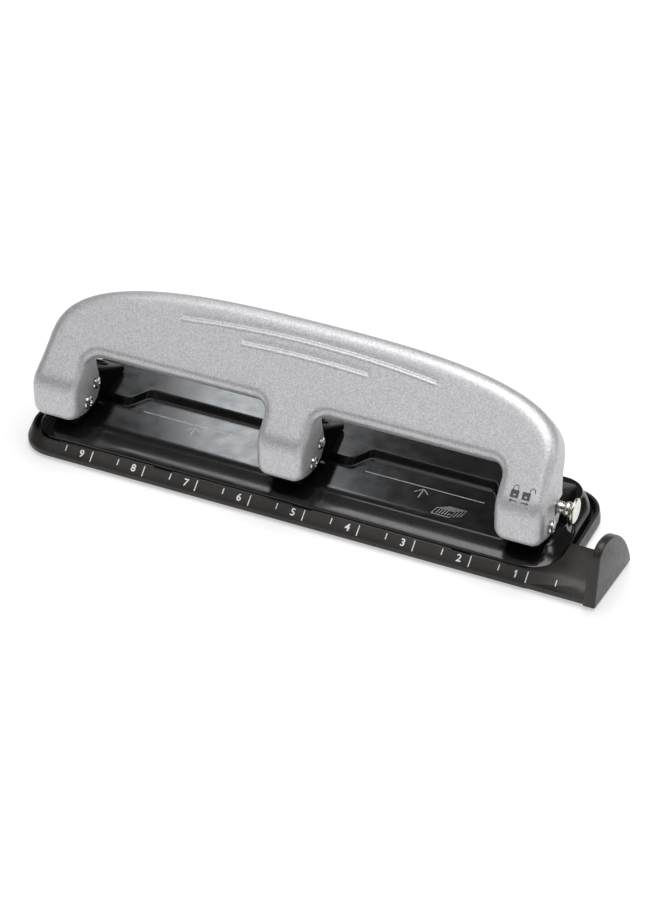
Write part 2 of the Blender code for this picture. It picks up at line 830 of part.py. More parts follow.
def add_handle(parent):
    handle = add_piece("handle_shell", handle_skin(), PAINT_SILVER, parent)
    solid = handle.modifiers.new("sheet", "SOLIDIFY")
    solid.thickness = HANDLE_SHEET * MM
    solid.offset = -1.0
    solid.use_even_offset = True
    reach = HOLE_PITCH + FOOT_HALF + 6.0
    pivot_bore = turned([(2.3, -reach), (2.3, reach)], PIVOT, "X", 14)
    boolean(handle, add_cutter("pivot_bore", pivot_bore, parent))
    drive_bore = turned([(1.8, -reach), (1.8, HOLE_PITCH)], DRIVE, "X", 14)
    boolean(handle, add_cutter("drive_bore", drive_bore, parent))
    notch = [(19.6, 25.4), (31.0, 25.4), (31.0, 31.4), (19.6, 31.4)]
    lock_notch = prism_x(notch, HOLE_PITCH + 6.0, reach)
    boolean(handle, add_cutter("lock_notch", lock_notch, parent))


def add_drive_pin(side, x, parent):
    head = FOOT_HALF + 0.3
    profile = [
        (1.4, -head - 1.0),
        (2.1, -head - 0.6),
        (2.1, -head),
        (1.5, -head),
        (1.5, head),
        (2.7, head),
        (2.5, head + 0.9),
        (1.4, head + 1.5),
    ]
    bm = turned(profile, (x, DRIVE.y, DRIVE.z), "X", 16)
    add_piece("drive_pin_" + side, bm, NICKEL, parent)


def add_lock_pin(parent):
    """The right foot's drive pin: pulled out its thin neck clears the bracket, pushed in it locks."""
    x = HOLE_PITCH
    profile = [
        (1.1, -12.4),
        (1.5, -12.0),
        (1.5, 9.5),
        (2.4, 9.9),
        (2.4, 13.4),
        (2.0, 13.7),
        (2.0, 14.3),
        (2.5, 14.7),
        (3.2, 15.4),
        (3.2, 16.3),
        (2.5, 17.0),
        (1.9, 17.3),
        (1.9, 17.7),
        (5.6, 17.8),
        (6.3, 18.2),
        (6.3, 18.9),
        (5.6, 19.3),
    ]
    bm = turned(profile, (x, DRIVE.y, DRIVE.z), "X", 20)
    add_piece("lock_pin", bm, NICKEL, parent)


def main():
    clear_scene()
    bpy.context.scene.unit_settings.system = "METRIC"
    base = body("base_body", (0.0, PUNCH_Y, 0.0))
    tray = body("tray_body", (0.0, PUNCH_Y, 0.0), base)
    handle = body("handle_body", PIVOT, base)
    lock = body("lock_body", (HOLE_PITCH, DRIVE.y, DRIVE.z), handle)
    add_base(base)
    add_tray(tray)
    add_rubber_feet(tray)
    add_handle(handle)
    for side, x in HEADS.items():
        punch = body(f"punch_{side}_body", (x, PUNCH_Y, 0.0), base)
        add_bracket(side, x, base)
        add_die(side, x, base)
        add_bracket_rivets(side, x, base)
        add_pivot_rivet(side, x, base)
        add_spring(side, x, base)
        add_punch(side, x, punch)
        if side != "right":
            add_drive_pin(side, x, handle)
    add_lock_pin(lock)


main()
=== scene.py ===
"""Looks of a three hole paper punch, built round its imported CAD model.

The pieces are drawn in layout millimetres, as the punch was designed: X runs along it from the middle
hole, Y from the tray's front edge to its back, Z up from the tray's underside. Taking ORIGIN away turns
them into the frame's own places, and it is worked out from the frame's middle punch.
"""

import math

import bmesh
import bpy
from mathutils import Matrix, Vector
from mathutils.geometry import delaunay_2d_cdt


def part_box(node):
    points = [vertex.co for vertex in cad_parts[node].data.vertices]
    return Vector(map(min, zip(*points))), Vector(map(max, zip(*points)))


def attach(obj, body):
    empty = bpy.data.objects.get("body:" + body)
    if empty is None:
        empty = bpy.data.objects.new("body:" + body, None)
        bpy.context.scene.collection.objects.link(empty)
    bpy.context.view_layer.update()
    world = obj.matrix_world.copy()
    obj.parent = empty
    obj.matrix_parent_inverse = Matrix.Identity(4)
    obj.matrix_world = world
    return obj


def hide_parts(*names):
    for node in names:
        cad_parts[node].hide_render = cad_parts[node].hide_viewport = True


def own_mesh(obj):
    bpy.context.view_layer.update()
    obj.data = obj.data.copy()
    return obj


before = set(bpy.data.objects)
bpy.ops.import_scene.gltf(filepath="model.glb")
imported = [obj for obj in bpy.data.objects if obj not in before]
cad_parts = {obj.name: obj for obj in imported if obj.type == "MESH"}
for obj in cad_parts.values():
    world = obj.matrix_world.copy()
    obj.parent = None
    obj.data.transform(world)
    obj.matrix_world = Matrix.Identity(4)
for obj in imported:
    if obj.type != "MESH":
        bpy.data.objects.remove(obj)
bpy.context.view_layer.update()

MM = 0.001
PUNCH_Y = 24.0
FEET_DROP = 0.9


def box_centre(node):
    low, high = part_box(node)
    return (low + high) / 2.0


MIDDLE = box_centre("punch_pin_middle") / MM
ORIGIN = Vector((-MIDDLE.x, PUNCH_Y - MIDDLE.y, -FEET_DROP))
HEADS = {
    side: box_centre("punch_pin_" + side).x / MM - MIDDLE.x for side in ("left", "middle", "right")
}
PIVOT = Vector((0.0, 15.15, 23.4))
DRIVE = Vector((0.0, 23.3, 28.4))
PANEL_Z = 10.5
PLATFORM_Z = 13.8

# ---- materials


class Nodes:
    """A small helper that adds and links shader nodes."""

    def __init__(self, name):
        self.material = bpy.data.materials.new(name)
        self.material.use_nodes = True
        self.tree = self.material.node_tree
        self.shader = self.tree.nodes["Principled BSDF"]
        coordinates = self.tree.nodes.new("ShaderNodeTexCoord")
        self.place = coordinates.outputs["Object"]

    def link(self, start, end):
        self.tree.links.new(start, end)

    def add(self, kind):
        return self.tree.nodes.new(kind)

    def noise(self, scale, detail=2.0, stretch=None):
        node = self.add("ShaderNodeTexNoise")
        node.inputs["Scale"].default_value = scale
        node.inputs["Detail"].default_value = detail
        place = self.place
        if stretch is not None:
            mapping = self.add("ShaderNodeMapping")
            mapping.inputs["Scale"].default_value = stretch
            self.link(self.place, mapping.inputs["Vector"])
            place = mapping.outputs["Vector"]
        self.link(place, node.inputs["Vector"])
        return node.outputs["Fac"]

    def cells(self, scale):
        node = self.add("ShaderNodeTexVoronoi")
        node.inputs["Scale"].default_value = scale
        self.link(self.place, node.inputs["Vector"])
        return node.outputs["Color"]

    def ramp(self, source, low, high, start=0.3, end=0.7):
        """Maps a texture onto a range between two values or two colours."""
        if isinstance(low, tuple):
            node = self.add("ShaderNodeValToRGB")
            stops = node.color_ramp.elements
            stops[0].position, stops[1].position = start, end
            stops[0].color, stops[1].color = (*low, 1.0), (*high, 1.0)
            self.link(source, node.inputs["Fac"])
            return node.outputs["Color"]
        node = self.add("ShaderNodeMapRange")
        node.inputs["From Min"].default_value = start
        node.inputs["From Max"].default_value = end
        node.inputs["To Min"].default_value = low
        node.inputs["To Max"].default_value = high
        self.link(source, node.inputs["Value"])
        return node.outputs["Result"]

    def bump(self, source, strength, distance):
        node = self.add("ShaderNodeBump")
        node.inputs["Strength"].default_value = strength
        node.inputs["Distance"].default_value = distance
        self.link(source, node.inputs["Height"])
        self.link(node.outputs["Normal"], self.shader.inputs["Normal"])

    def colour(self, source, low, high, start=0.3, end=0.7):
        self.link(self.ramp(source, low, high, start, end), self.shader.inputs["Base Color"])

    def roughness(self, source, low, high):
        self.link(self.ramp(source, low, high), self.shader.inputs["Roughness"])

    def set(self, **values):
        for key, value in values.items():
            self.shader.inputs[key.replace("_", " ")].default_value = value


def silver_paint():
    """Metallic paint: fine flakes of different brightness under a satin surface."""
    n = Nodes("silver_metallic_paint")
    n.colour(n.cells(2600.0), (0.47, 0.47, 0.485), (0.74, 0.74, 0.755), 0.1, 0.9)
    n.roughness(n.noise(900.0, 3.0), 0.42, 0.54)
    n.bump(n.noise(1500.0, 2.0), 0.35, 0.00012)
    n.set(Metallic=0.6)
    return n.material


def tool_steel():
    """Ground steel: lines round and along the pin, a little darker in the hollows."""
    n = Nodes("ground_tool_steel")
    grain = n.noise(500.0, 3.0, (1.0, 1.0, 9.0))
    n.colour(grain, (0.34, 0.34, 0.35), (0.58, 0.58, 0.58))
    n.roughness(grain, 0.22, 0.40)
    n.bump(grain, 0.15, 0.0001)
    n.set(Metallic=1.0)
    return n.material


def ink(name, colour):
    """Screen printed ink: nearly even, a little thin in places."""
    n = Nodes(name)
    worn = tuple(0.82 * c for c in colour)
    n.colour(n.noise(1800.0, 3.0), worn, colour)
    n.roughness(n.noise(900.0, 2.0), 0.2, 0.3)
    n.set(IOR=1.6)
    return n.material


def mottled(name, mottle, low, high, patches, roughness, grain, relief, **settings):
    """A mottled colour, uneven roughness and a fine grain, from noises of (scale, detail)."""
    n = Nodes(name)
    n.colour(n.noise(*mottle), low, high)
    n.roughness(n.noise(*patches), *roughness)
    n.bump(n.noise(*grain), *relief)
    n.set(**settings)
    return n.material


PAINT = silver_paint()
# Gloss black stove enamel, with the faint waviness of sprayed paint
ENAMEL = mottled(
    "gloss_black_enamel", (40.0, 3.0), (0.006, 0.006, 0.007), (0.012, 0.011, 0.011),
    (160.0, 3.0), (0.13, 0.19), (70.0, 1.0), (0.02, 0.0002), Metallic=0.0, IOR=1.55,
)
# The enamel where it was sprayed thin, over the brackets: black and less glossy
BRACKET_ENAMEL = mottled(
    "satin_black_enamel", (60.0, 3.0), (0.005, 0.005, 0.005), (0.010, 0.009, 0.009),
    (240.0, 3.0), (0.22, 0.30), (90.0, 1.0), (0.03, 0.0002), Metallic=0.0, Specular_IOR_Level=0.006,
)
# Moulded black plastic with a fine spark-eroded grain
PLASTIC = mottled(
    "satin_black_plastic", (55.0, 4.0), (0.022, 0.018, 0.016), (0.034, 0.029, 0.026),
    (420.0, 3.0), (0.30, 0.42), (2400.0, 2.0), (0.18, 0.00008), Metallic=0.0, IOR=1.42,
)
# Bright nickel plating with light turning marks and handling wear
NICKEL = mottled(
    "nickel_plate", (700.0, 4.0), (0.56, 0.53, 0.48), (0.84, 0.82, 0.77),
    (900.0, 3.0), (0.12, 0.32), (1300.0, 3.0), (0.3, 0.00012), Metallic=1.0,
)
STEEL = tool_steel()
RUBBER = mottled(
    "matt_rubber", (300.0, 4.0), (0.018, 0.018, 0.018), (0.034, 0.034, 0.034),
    (800.0, 3.0), (0.7, 0.9), (1500.0, 2.0), (0.3, 0.0001),
)
WHITE_INK = ink("white_ink", (0.95, 0.95, 0.95))
GREY_INK = ink("grey_ink", (0.055, 0.055, 0.06))

# ---- making pieces


def place(x, y, z):
    """A layout point in millimetres as a point of the frame in metres."""
    return (Vector((x, y, z)) - ORIGIN) * MM


def shade(made, angle):
    """Smooth shading, with sharp edges where faces meet at more than an angle in degrees."""
    made.data.shade_smooth()
    made.data.set_sharp_from_angle(angle=math.radians(angle))


def add_object(name, data):
    made = bpy.data.objects.new(name, data)
    bpy.context.scene.collection.objects.link(made)
    return made


def object_from(name, bm):
    """Makes an object from a mesh in layout millimetres."""
    for vert in bm.verts:
        vert.co = (vert.co - ORIGIN) * MM
    bmesh.ops.recalc_face_normals(bm, faces=bm.faces)
    mesh = bpy.data.meshes.new(name)
    bm.to_mesh(mesh)
    bm.free()
    return add_object(name, mesh)


def piece(name, bm, look, body, replaced=(), smooth=32.0):
    """Makes one named object from a mesh in layout millimetres, riding on a CAD body."""
    made = object_from(name, bm)
    shade(made, smooth)
    made.data.materials.append(look)
    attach(made, body)
    if replaced:
        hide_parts(*replaced)
    return made


def apply_modifiers(made):
    """Bakes an object's modifiers into its mesh."""
    graph = bpy.context.evaluated_depsgraph_get()
    mesh = bpy.data.meshes.new_from_object(made.evaluated_get(graph), depsgraph=graph)
    made.modifiers.clear()
    made.data = mesh


def add_sheet(made, thickness):
    """Thickens a skin inwards into sheet metal."""
    step = made.modifiers.new("sheet", "SOLIDIFY")
    step.thickness = thickness * MM
    step.offset = -1.0
    step.use_even_offset = True


def bevel(made, width, segments, angle):
    step = made.modifiers.new("edge", "BEVEL")
    step.width = width * MM
    step.segments = segments
    step.limit_method = "ANGLE"
    step.angle_limit = math.radians(angle)
    step.harden_normals = False


def combine(made, helpers, operation):
    """Cuts helper objects from an object, or joins them to it, and removes them."""
    for helper in helpers:
        step = made.modifiers.new("combine", "BOOLEAN")
        step.operation = operation
        step.solver = "EXACT"
        step.object = helper
    apply_modifiers(made)
    for helper in helpers:
        bpy.data.objects.remove(helper, do_unlink=True)


def cut(made, cutters, operation="DIFFERENCE"):
    """Cuts or joins meshes in layout millimetres, and bakes the result."""
    combine(made, [object_from("cutter", bm) for bm in cutters], operation)


def loft(loops):
    """A closed body through loops that have the same number of points."""
    bm = bmesh.new()
    rows = [[bm.verts.new(point) for point in loop] for loop in loops]
    count = len(rows[0])
    for low, high in zip(rows, rows[1:]):
        for i in range(count):
            j = (i + 1) % count
            bm.faces.new((low[i], low[j], high[j], high[i]))
    bm.faces.new(rows[0])
    bm.faces.new(rows[-1])
    return bm


def prism_x(outline, low, high):
    return loft([[(x, y, z) for y, z in outline] for x in (low, high)])


RIPPLE_LOBES = 4
RIPPLED_ROWS = 3


def turned(profile, centre, axis, segments, ripple=0.0):
    """Turns (radius, distance along) pairs about X or Z; ripple presses lobes into the profile's end."""
    loops = []
    for index, (radius, along) in enumerate(profile):
        loop = []
        rippled = index >= len(profile) - RIPPLED_ROWS
        for i in range(segments):
            angle = 2.0 * math.pi * i / segments
            dent = ripple * math.cos(RIPPLE_LOBES * angle) if rippled else 0.0
            r = radius * (1.0 + dent)
            a, b = r * math.cos(angle), r * math.sin(angle)
            offset = Vector((along, a, b)) if axis == "X" else Vector((a, b, along))
            loop.append(Vector(centre) + offset)
        loops.append(loop)
    return loft(loops)


def rounded(profile, radius, steps):
    """Rounds the inner corners of an open (radius, along) profile."""
    made = [profile[0]]
    for before, here, after in zip(profile, profile[1:], profile[2:]):
        a, b, c = Vector(before), Vector(here), Vector(after)
        reach = min(radius, 0.45 * (a - b).length, 0.45 * (c - b).length)
        start = b + (a - b).normalized() * reach
        end = b + (c - b).normalized() * reach
        for i in range(steps + 1):
            t = i / steps
            made.append(tuple((1 - t) ** 2 * start + 2 * t * (1 - t) * b + t * t * end))
    made.append(profile[-1])
    return made


def smooth_step(value):
    t = min(max(value, 0.0), 1.0)
    return t * t * (3.0 - 2.0 * t)


def well_inside(point, loop, margin):
    inside = False
    for a, b in zip(loop, loop[1:] + loop[:1]):
        along = b - a
        share = min(max((point - a).dot(along) / max(along.length_squared, 1e-9), 0.0), 1.0)
        if (a + along * share - point).length < margin:
            return False
        if (a.y > point.y) != (b.y > point.y):
            if point.x < a.x + (point.y - a.y) / (b.y - a.y) * (b.x - a.x):
                inside = not inside
    return inside


def fill(bm, border, flat, extra, lines, lift):
    """Fills a border of vertices through extra points and lines of points; lift places a new point."""
    points = list(flat) + list(extra)
    edges = [(i, (i + 1) % len(flat)) for i in range(len(flat))]
    for line in lines:
        start = len(points)
        points.extend(line)
        edges.extend((i, i + 1) for i in range(start, len(points) - 1))
    made, _, faces, origins, _, _ = delaunay_2d_cdt(points, edges, [], 1, 1e-5, True)
    verts = []
    for point, sources in zip(made, origins):
        source = min(sources) if sources else len(border)
        verts.append(border[source] if source < len(border) else bm.verts.new(lift(point.x, point.y)))
    for face in faces:
        middle = sum((made[i] for i in face), Vector((0.0, 0.0))) / len(face)
        if well_inside(middle, flat, 0.0):
            bm.faces.new([verts[i] for i in face])


# ---- handle

HANDLE_SHEET = 1.2
FOOT_HALF = 11.0
FOOT_FRONT = 4.0
FOOT_BOTTOM = 17.2
WALL_HEIGHT = 14.3
BEND_RADIUS = 12.0
FACE_TILT = math.radians(43.5)
BEND_LENGTH = BEND_RADIUS * (math.pi / 2.0 - FACE_TILT)
FACE_LENGTH = 51.2
WINDOW_TOP = 36.9
ARCH_HALF = 117.4
ARCH_START = 38.0
ARCH_POWER_X = 2.75
ARCH_POWER_S = 3.0
TOP_FLANGE = 9.0
WINDOW_LIP = 4.5
# Pressed ledges in the face: half length, height up the pattern in the middle, and how fast they droop
LEDGES = ((59.5, 64.4, 0.00099), (30.0, 57.8, 0.0009))
LEDGE_DEPTH = 0.22
# Each ledge drops in two short steps, then fades back to the face further up
STEP_LENGTH = 0.3
SECOND_STEP = 0.9
LEDGE_REACH = 3.4
LEDGE_FADE = 2.0
# A low bead runs under the line, and both die out over the same length at the ends
BEAD_HEIGHT = 0.14
BEAD_WIDTH = 1.2
LEDGE_END = 1.2
# Rear edge of the feet's side walls: distance up the flat pattern, then the edge's y and z
REAR_EDGE = (
    (0.0, 9.5, 17.2), (0.9, 10.0, 17.2), (2.4, 15.0, 17.4), (5.0, 23.5, 19.6), (10.0, 27.0, 24.2),
    (14.3, 27.3, 28.5), (18.0, 26.4, 32.5), (22.0, 25.3, 36.5), (26.0, 24.8, 40.0),
    (29.0, 25.2, 42.0), (34.0, 27.5, 44.3), (45.0, 34.0, 48.0), (58.0, 43.0, 53.0),
)


def face_point(s):
    """Front surface of the handle: upright wall, bend, then the tilted face. Returns point and slope."""
    if s <= WALL_HEIGHT:
        return Vector((0.0, FOOT_FRONT, FOOT_BOTTOM + s)), math.pi / 2.0
    if s <= WALL_HEIGHT + BEND_LENGTH:
        turn = (s - WALL_HEIGHT) / BEND_RADIUS
        y = FOOT_FRONT + BEND_RADIUS * (1.0 - math.cos(turn))
        z = FOOT_BOTTOM + WALL_HEIGHT + BEND_RADIUS * math.sin(turn)
        return Vector((0.0, y, z)), math.pi / 2.0 - turn
    start, slope = face_point(WALL_HEIGHT + BEND_LENGTH)
    along = s - WALL_HEIGHT - BEND_LENGTH
    return start + Vector((0.0, math.cos(slope), math.sin(slope))) * along, slope


def on_face(x, s, depth=0.0):
    point, slope = face_point(s)
    inward = Vector((0.0, math.sin(slope), -math.cos(slope)))
    return Vector((x, point.y, point.z)) + inward * depth


def ledge_depth(x, s):
    """How far the face is pressed in at a point: each ledge drops above its line and fades upward."""
    depth = 0.0
    for half, height, droop in LEDGES:
        above = s - (height - droop * x * x)
        fade = smooth_step((half - abs(x)) / LEDGE_END)
        if -BEAD_WIDTH < above <= 0.0:
            depth -= BEAD_HEIGHT * fade * math.sin(math.pi * (above + BEAD_WIDTH) / BEAD_WIDTH)
        elif 0.0 < above < LEDGE_REACH:
            first = smooth_step(above / STEP_LENGTH)
            second = smooth_step((above - SECOND_STEP) / STEP_LENGTH)
            drop = (0.5 * first + 0.5 * second) * min((LEDGE_REACH - above) / LEDGE_FADE, 1.0)
            depth += LEDGE_DEPTH * fade * drop
    return depth


OUTER_RISES = [6.4 + 1.75 * i for i in range(18)]
INNER_RISES = [6.8 + 1.6 * i for i in range(15)]
ARCH_STEPS = 150
WINDOW_STEPS = 36
LEAST_SPACING = 0.5


def arch_outline():
    """The outer feet's sides and the arch between them, as (x, distance up the pattern, kind)."""
    height = WALL_HEIGHT + BEND_LENGTH + FACE_LENGTH - ARCH_START
    foot_edge = HEADS["right"] + FOOT_HALF
    points = []
    for s in OUTER_RISES:
        widen = (ARCH_HALF - foot_edge) * smooth_step((s - WALL_HEIGHT) / (ARCH_START - WALL_HEIGHT))
        points.append((-foot_edge - widen, s))
    for i in range(ARCH_STEPS + 1):
        angle = math.pi * (1.0 - i / ARCH_STEPS)
        c, s = math.cos(angle), math.sin(angle)
        x = ARCH_HALF * math.copysign(abs(c) ** (2.0 / ARCH_POWER_X), c)
        points.append((x, ARCH_START + height * abs(s) ** (2.0 / ARCH_POWER_S)))
    right = [(-x, s) for x, s in reversed(points[: len(OUTER_RISES)])]
    return [(x, s, "outer") for x, s in points + right]


def corner_arc(x, s, radius, start, end, kind, steps=8):
    made = []
    for i in range(steps + 1):
        angle = math.radians(start + (end - start) * i / steps)
        made.append((x + radius * math.cos(angle), s + radius * math.sin(angle), kind))
    return made


def even(outline, spacing):
    """Drops outline points that lie closer together than the spacing."""
    kept = [outline[0]]
    for point in outline[1:]:
        if math.hypot(point[0] - kept[-1][0], point[1] - kept[-1][1]) > spacing:
            kept.append(point)
    return kept


def handle_outline():
    loop = even(arch_outline(), LEAST_SPACING)
    corner = 5.6
    window = 6.5
    centres = sorted(HEADS.values(), reverse=True)
    for index, centre in enumerate(centres):
        right = centre + FOOT_HALF
        left = centre - FOOT_HALF
        if index > 0:
            loop += [(right, s, "inner") for s in reversed(INNER_RISES)]
        loop += corner_arc(right - corner, corner, corner, 0.0, -90.0, "foot")
        loop += corner_arc(left + corner, corner, corner, -90.0, -180.0, "foot")
        if index < 2:
            loop += [(left, s, "inner") for s in INNER_RISES]
            next_right = centres[index + 1] + FOOT_HALF
            span = left - next_right - 2.0 * window
            height = WINDOW_TOP - window
            loop += corner_arc(left - window, height, window, 0.0, 90.0, "window")
            for i in range(1, WINDOW_STEPS):
                loop.append((left - window - span * i / WINDOW_STEPS, WINDOW_TOP, "window"))
            loop += corner_arc(next_right + window, height, window, 90.0, 180.0, "window")
    return loop


# How far behind REAR_EDGE the outer walls end, at distances up the face
OUTER_SHIFT = (
    (11.0, 0.0), (15.0, 0.6), (19.5, 2.0), (25.0, 4.4), (30.0, 5.5), (36.0, 4.3), (42.0, 1.0),
    (48.0, -1.7), (60.0, 0.0),
)
LIP_FADE = 6.0
FLANGE_START = 45.0
FLANGE_FADE = 13.0
# Radius of the pressed edge round each kind of border; the outer one widens up the arch
EDGE_RADII = {"outer": 4.8, "window": 3.6, "foot": 5.2, "inner": 4.6}
EDGE_WIDENING = 2.4
WIDENING_START = 34.0
WIDENING_LENGTH = 26.0


def read_table(table, s):
    """Values of a table of (distance, value, ...) rows at a distance, held level beyond its ends."""
    for low, high in zip(table, table[1:]):
        if s <= high[0]:
            share = (s - low[0]) / (high[0] - low[0])
            return [a + (b - a) * max(share, 0.0) for a, b in zip(low[1:], high[1:])]
    return list(table[-1][1:])


def edge_radius(kind, s):
    wider = smooth_step((s - WIDENING_START) / WIDENING_LENGTH) if kind == "outer" else 0.0
    return EDGE_RADII[kind] + EDGE_WIDENING * wider


def wall_end(kind, x, s, start):
    """Where the wall that is turned back from the edge ends."""
    inward = on_face(x, s, 1.0) - on_face(x, s)
    y, z = read_table(REAR_EDGE, s)
    if kind == "outer":
        y += read_table(OUTER_SHIFT, s)[0]
    wall = Vector((start.x, y, z))
    if kind == "window":
        return (start + inward * WINDOW_LIP).lerp(wall, smooth_step((WINDOW_TOP - s) / LIP_FADE))
    if kind == "outer" and s > FLANGE_START:
        flange = start + inward * TOP_FLANGE
        return wall.lerp(flange, smooth_step((s - FLANGE_START) / FLANGE_FADE))
    return wall


EDGE_ARC_STEPS = 8
WALL_STEPS = 4
RADIUS_SMOOTHINGS = 6


def handle_skin():
    """The face with its rounded edge and the wall behind it, before it gets its thickness."""
    outline = handle_outline()
    count = len(outline)
    bm = bmesh.new()
    rows = [[] for _ in range(EDGE_ARC_STEPS + 1 + WALL_STEPS)]
    flat = []
    radii = [edge_radius(kind, s) for _, s, kind in outline]
    for _ in range(RADIUS_SMOOTHINGS):
        radii = [(radii[i - 1] + 2.0 * radii[i] + radii[(i + 1) % count]) / 4.0 for i in range(count)]
    for i, (x, s, kind) in enumerate(outline):
        before = outline[i - 1]
        after = outline[(i + 1) % count]
        tangent = Vector((after[0] - before[0], after[1] - before[1])).normalized()
        out = Vector((-tangent.y, tangent.x))
        radius = radii[i]
        base = Vector((x, s)) - out * radius
        flat.append(base)
        _, slope = face_point(base.y)
        inward = Vector((0.0, math.sin(slope), -math.cos(slope)))
        outward = Vector((out.x, math.cos(slope) * out.y, math.sin(slope) * out.y))
        centre = on_face(base.x, base.y, radius)
        for step in range(EDGE_ARC_STEPS + 1):
            angle = math.pi / 2.0 * step / EDGE_ARC_STEPS
            spot = centre - inward * radius * math.cos(angle) + outward * radius * math.sin(angle)
            rows[step].append(bm.verts.new(spot))
        end = wall_end(kind, x, s, spot)
        for step in range(WALL_STEPS):
            spot_behind = spot.lerp(end, (step + 1) / WALL_STEPS)
            rows[EDGE_ARC_STEPS + 1 + step].append(bm.verts.new(spot_behind))
    for front, back in zip(rows, rows[1:]):
        for i in range(count):
            j = (i + 1) % count
            bm.faces.new((front[i], back[i], back[j], front[j]))
    fill_handle_face(bm, rows[0], flat)
    return bm


# Rows of the face's mesh: close together round the bend, then even ones up the face
FACE_ROWS = [3.0, 8.0, 14.3, 15.5, 16.7, 18.0, 19.2, 20.4, 21.6, 22.8, 24.04, 27.0, 31.0, 35.0]
FACE_ROWS += [40.0 + 3.0 * i for i in range(9)]
FACE_COLUMNS = 80
FACE_MARGIN = 1.2
# Rows that follow each ledge, as distances above its line, and the room that they need
LEDGE_ROWS = (-1.6, -1.2, -0.9, -0.6, -0.3, 0.0, 0.15, 0.3, 0.6, 0.9, 1.05, 1.2, 1.4, 2.1, 2.8, 3.4)
LEDGE_ROOM = (-2.5, 4.4)
LEDGE_SPACING = 0.8
END_STEPS = 4


def near_ledge(x, s):
    for half, height, droop in LEDGES:
        above = s - (height - droop * x * x)
        if abs(x) < half + 2.0 and LEDGE_ROOM[0] < above < LEDGE_ROOM[1]:
            return True
    return False


def ledge_columns(half):
    """Where the rows along a ledge have their points: even ones, and closer ones at its ends."""
    straight = half - LEDGE_END
    steps = int(half / LEDGE_SPACING)
    across = [straight * (2.0 * i / steps - 1.0) for i in range(steps + 1)]
    ends = [half - LEDGE_END * (1.0 - k / END_STEPS) for k in range(END_STEPS + 1)] + [half + 0.6]
    return sorted({round(v, 4) for v in across + ends + [-e for e in ends]})


def fill_handle_face(bm, border, flat):
    points = []
    for s in FACE_ROWS:
        for i in range(1, FACE_COLUMNS):
            x = -ARCH_HALF + 2.0 * ARCH_HALF * i / FACE_COLUMNS
            if not near_ledge(x, s) and well_inside(Vector((x, s)), flat, FACE_MARGIN):
                points.append(Vector((x, s)))
    lines = []
    for half, height, droop in LEDGES:
        for offset in LEDGE_ROWS:
            row = [Vector((x, height - droop * x * x + offset)) for x in ledge_columns(half)]
            lines.append(row)
    fill(bm, border, flat, points, lines, lambda x, s: on_face(x, s, ledge_depth(x, s)))


HANDLE_SHARP = 38.0
PIVOT_HOLE = 2.3
DRIVE_HOLE = 1.8
# The lock pin's slot in the right foot's outer wall, as (y, z)
LOCK_SLOT = ((19.6, 25.4), (31.0, 25.4), (31.0, 31.4), (19.6, 31.4))


def build_handle():
    skin = handle_skin()
    handle = piece("handle", skin, PAINT, "handle", ("handle_shell",), HANDLE_SHARP)
    add_sheet(handle, HANDLE_SHEET)
    apply_modifiers(handle)
    reach = HEADS["right"] + FOOT_HALF + 6.0
    cutters = [
        turned([(PIVOT_HOLE, -reach), (PIVOT_HOLE, reach)], PIVOT, "X", 32),
        turned([(DRIVE_HOLE, -reach), (DRIVE_HOLE, HEADS["right"])], DRIVE, "X", 32),
        prism_x(LOCK_SLOT, HEADS["right"] + 6.0, reach),
    ]
    cut(handle, cutters)
    shade(handle, HANDLE_SHARP)


# ---- pressed base

BASE_LEFT = -121.5
BASE_RIGHT = 124.0
BASE_FRONT = 5.6
BASE_BACK = 64.0
BASE_CORNER = 14.0
BASE_EDGE_Z = 5.6
BASE_SHEET = 1.2
PANEL_FRONT = 15.6
SIDE_INSET = 5.0
BACK_INSET = 1.4
BACKSTOP_Y = 45.0
HEAD_STOP_Y = 35.2
STEP_SETBACK = 2.6
JOG_START = 18.6
JOG_END = 26.5
PANEL_CORNER = BASE_CORNER - 4.0
BASE_ARC_STEPS = 14
BASE_SPACING = 1.6
# Skirt profile: share of the way out to the rim, and share of the drop to the rim's shoulder
SKIRT_PROFILE = (
    (0.0, 0.0), (0.03, 0.035), (0.07, 0.09), (0.14, 0.16), (0.3, 0.27), (0.5, 0.43),
    (0.7, 0.62), (0.84, 0.78), (0.92, 0.89), (0.97, 0.965), (1.0, 1.06),
)
SHOULDER_RISE = 1.4
RIM_DROP = 2.0
# Mesh rows along the backstop, as shares of the way up it, and plain rows in front of and behind it
STEP_ROWS = (-0.5, -0.15, 0.0, 0.07, 0.15, 0.3, 0.5, 0.7, 0.85, 0.93, 1.0, 1.15, 1.6)
STEP_COLUMNS = [-116.0 + 0.8 * i for i in range(294)]
PLAIN_ROWS = (20.0, 26.0, 31.0, 52.0, 57.0)
PLAIN_COLUMNS = [-114.0 + 4.0 * i for i in range(60)]


def stop_line(x):
    nearest = min(abs(x - head) for head in HEADS.values())
    blend = smooth_step((nearest - JOG_START) / (JOG_END - JOG_START))
    return HEAD_STOP_Y + (BACKSTOP_Y - HEAD_STOP_Y) * blend


def step_share(rise):
    """Profile of the backstop from foot to top, with a small fillet at each."""
    return smooth_step(rise) * 0.35 + min(max((rise - 0.06) / 0.88, 0.0), 1.0) * 0.65


def base_height(x, y):
    return PANEL_Z + (PLATFORM_Z - PANEL_Z) * step_share((y - stop_line(x)) / STEP_SETBACK)


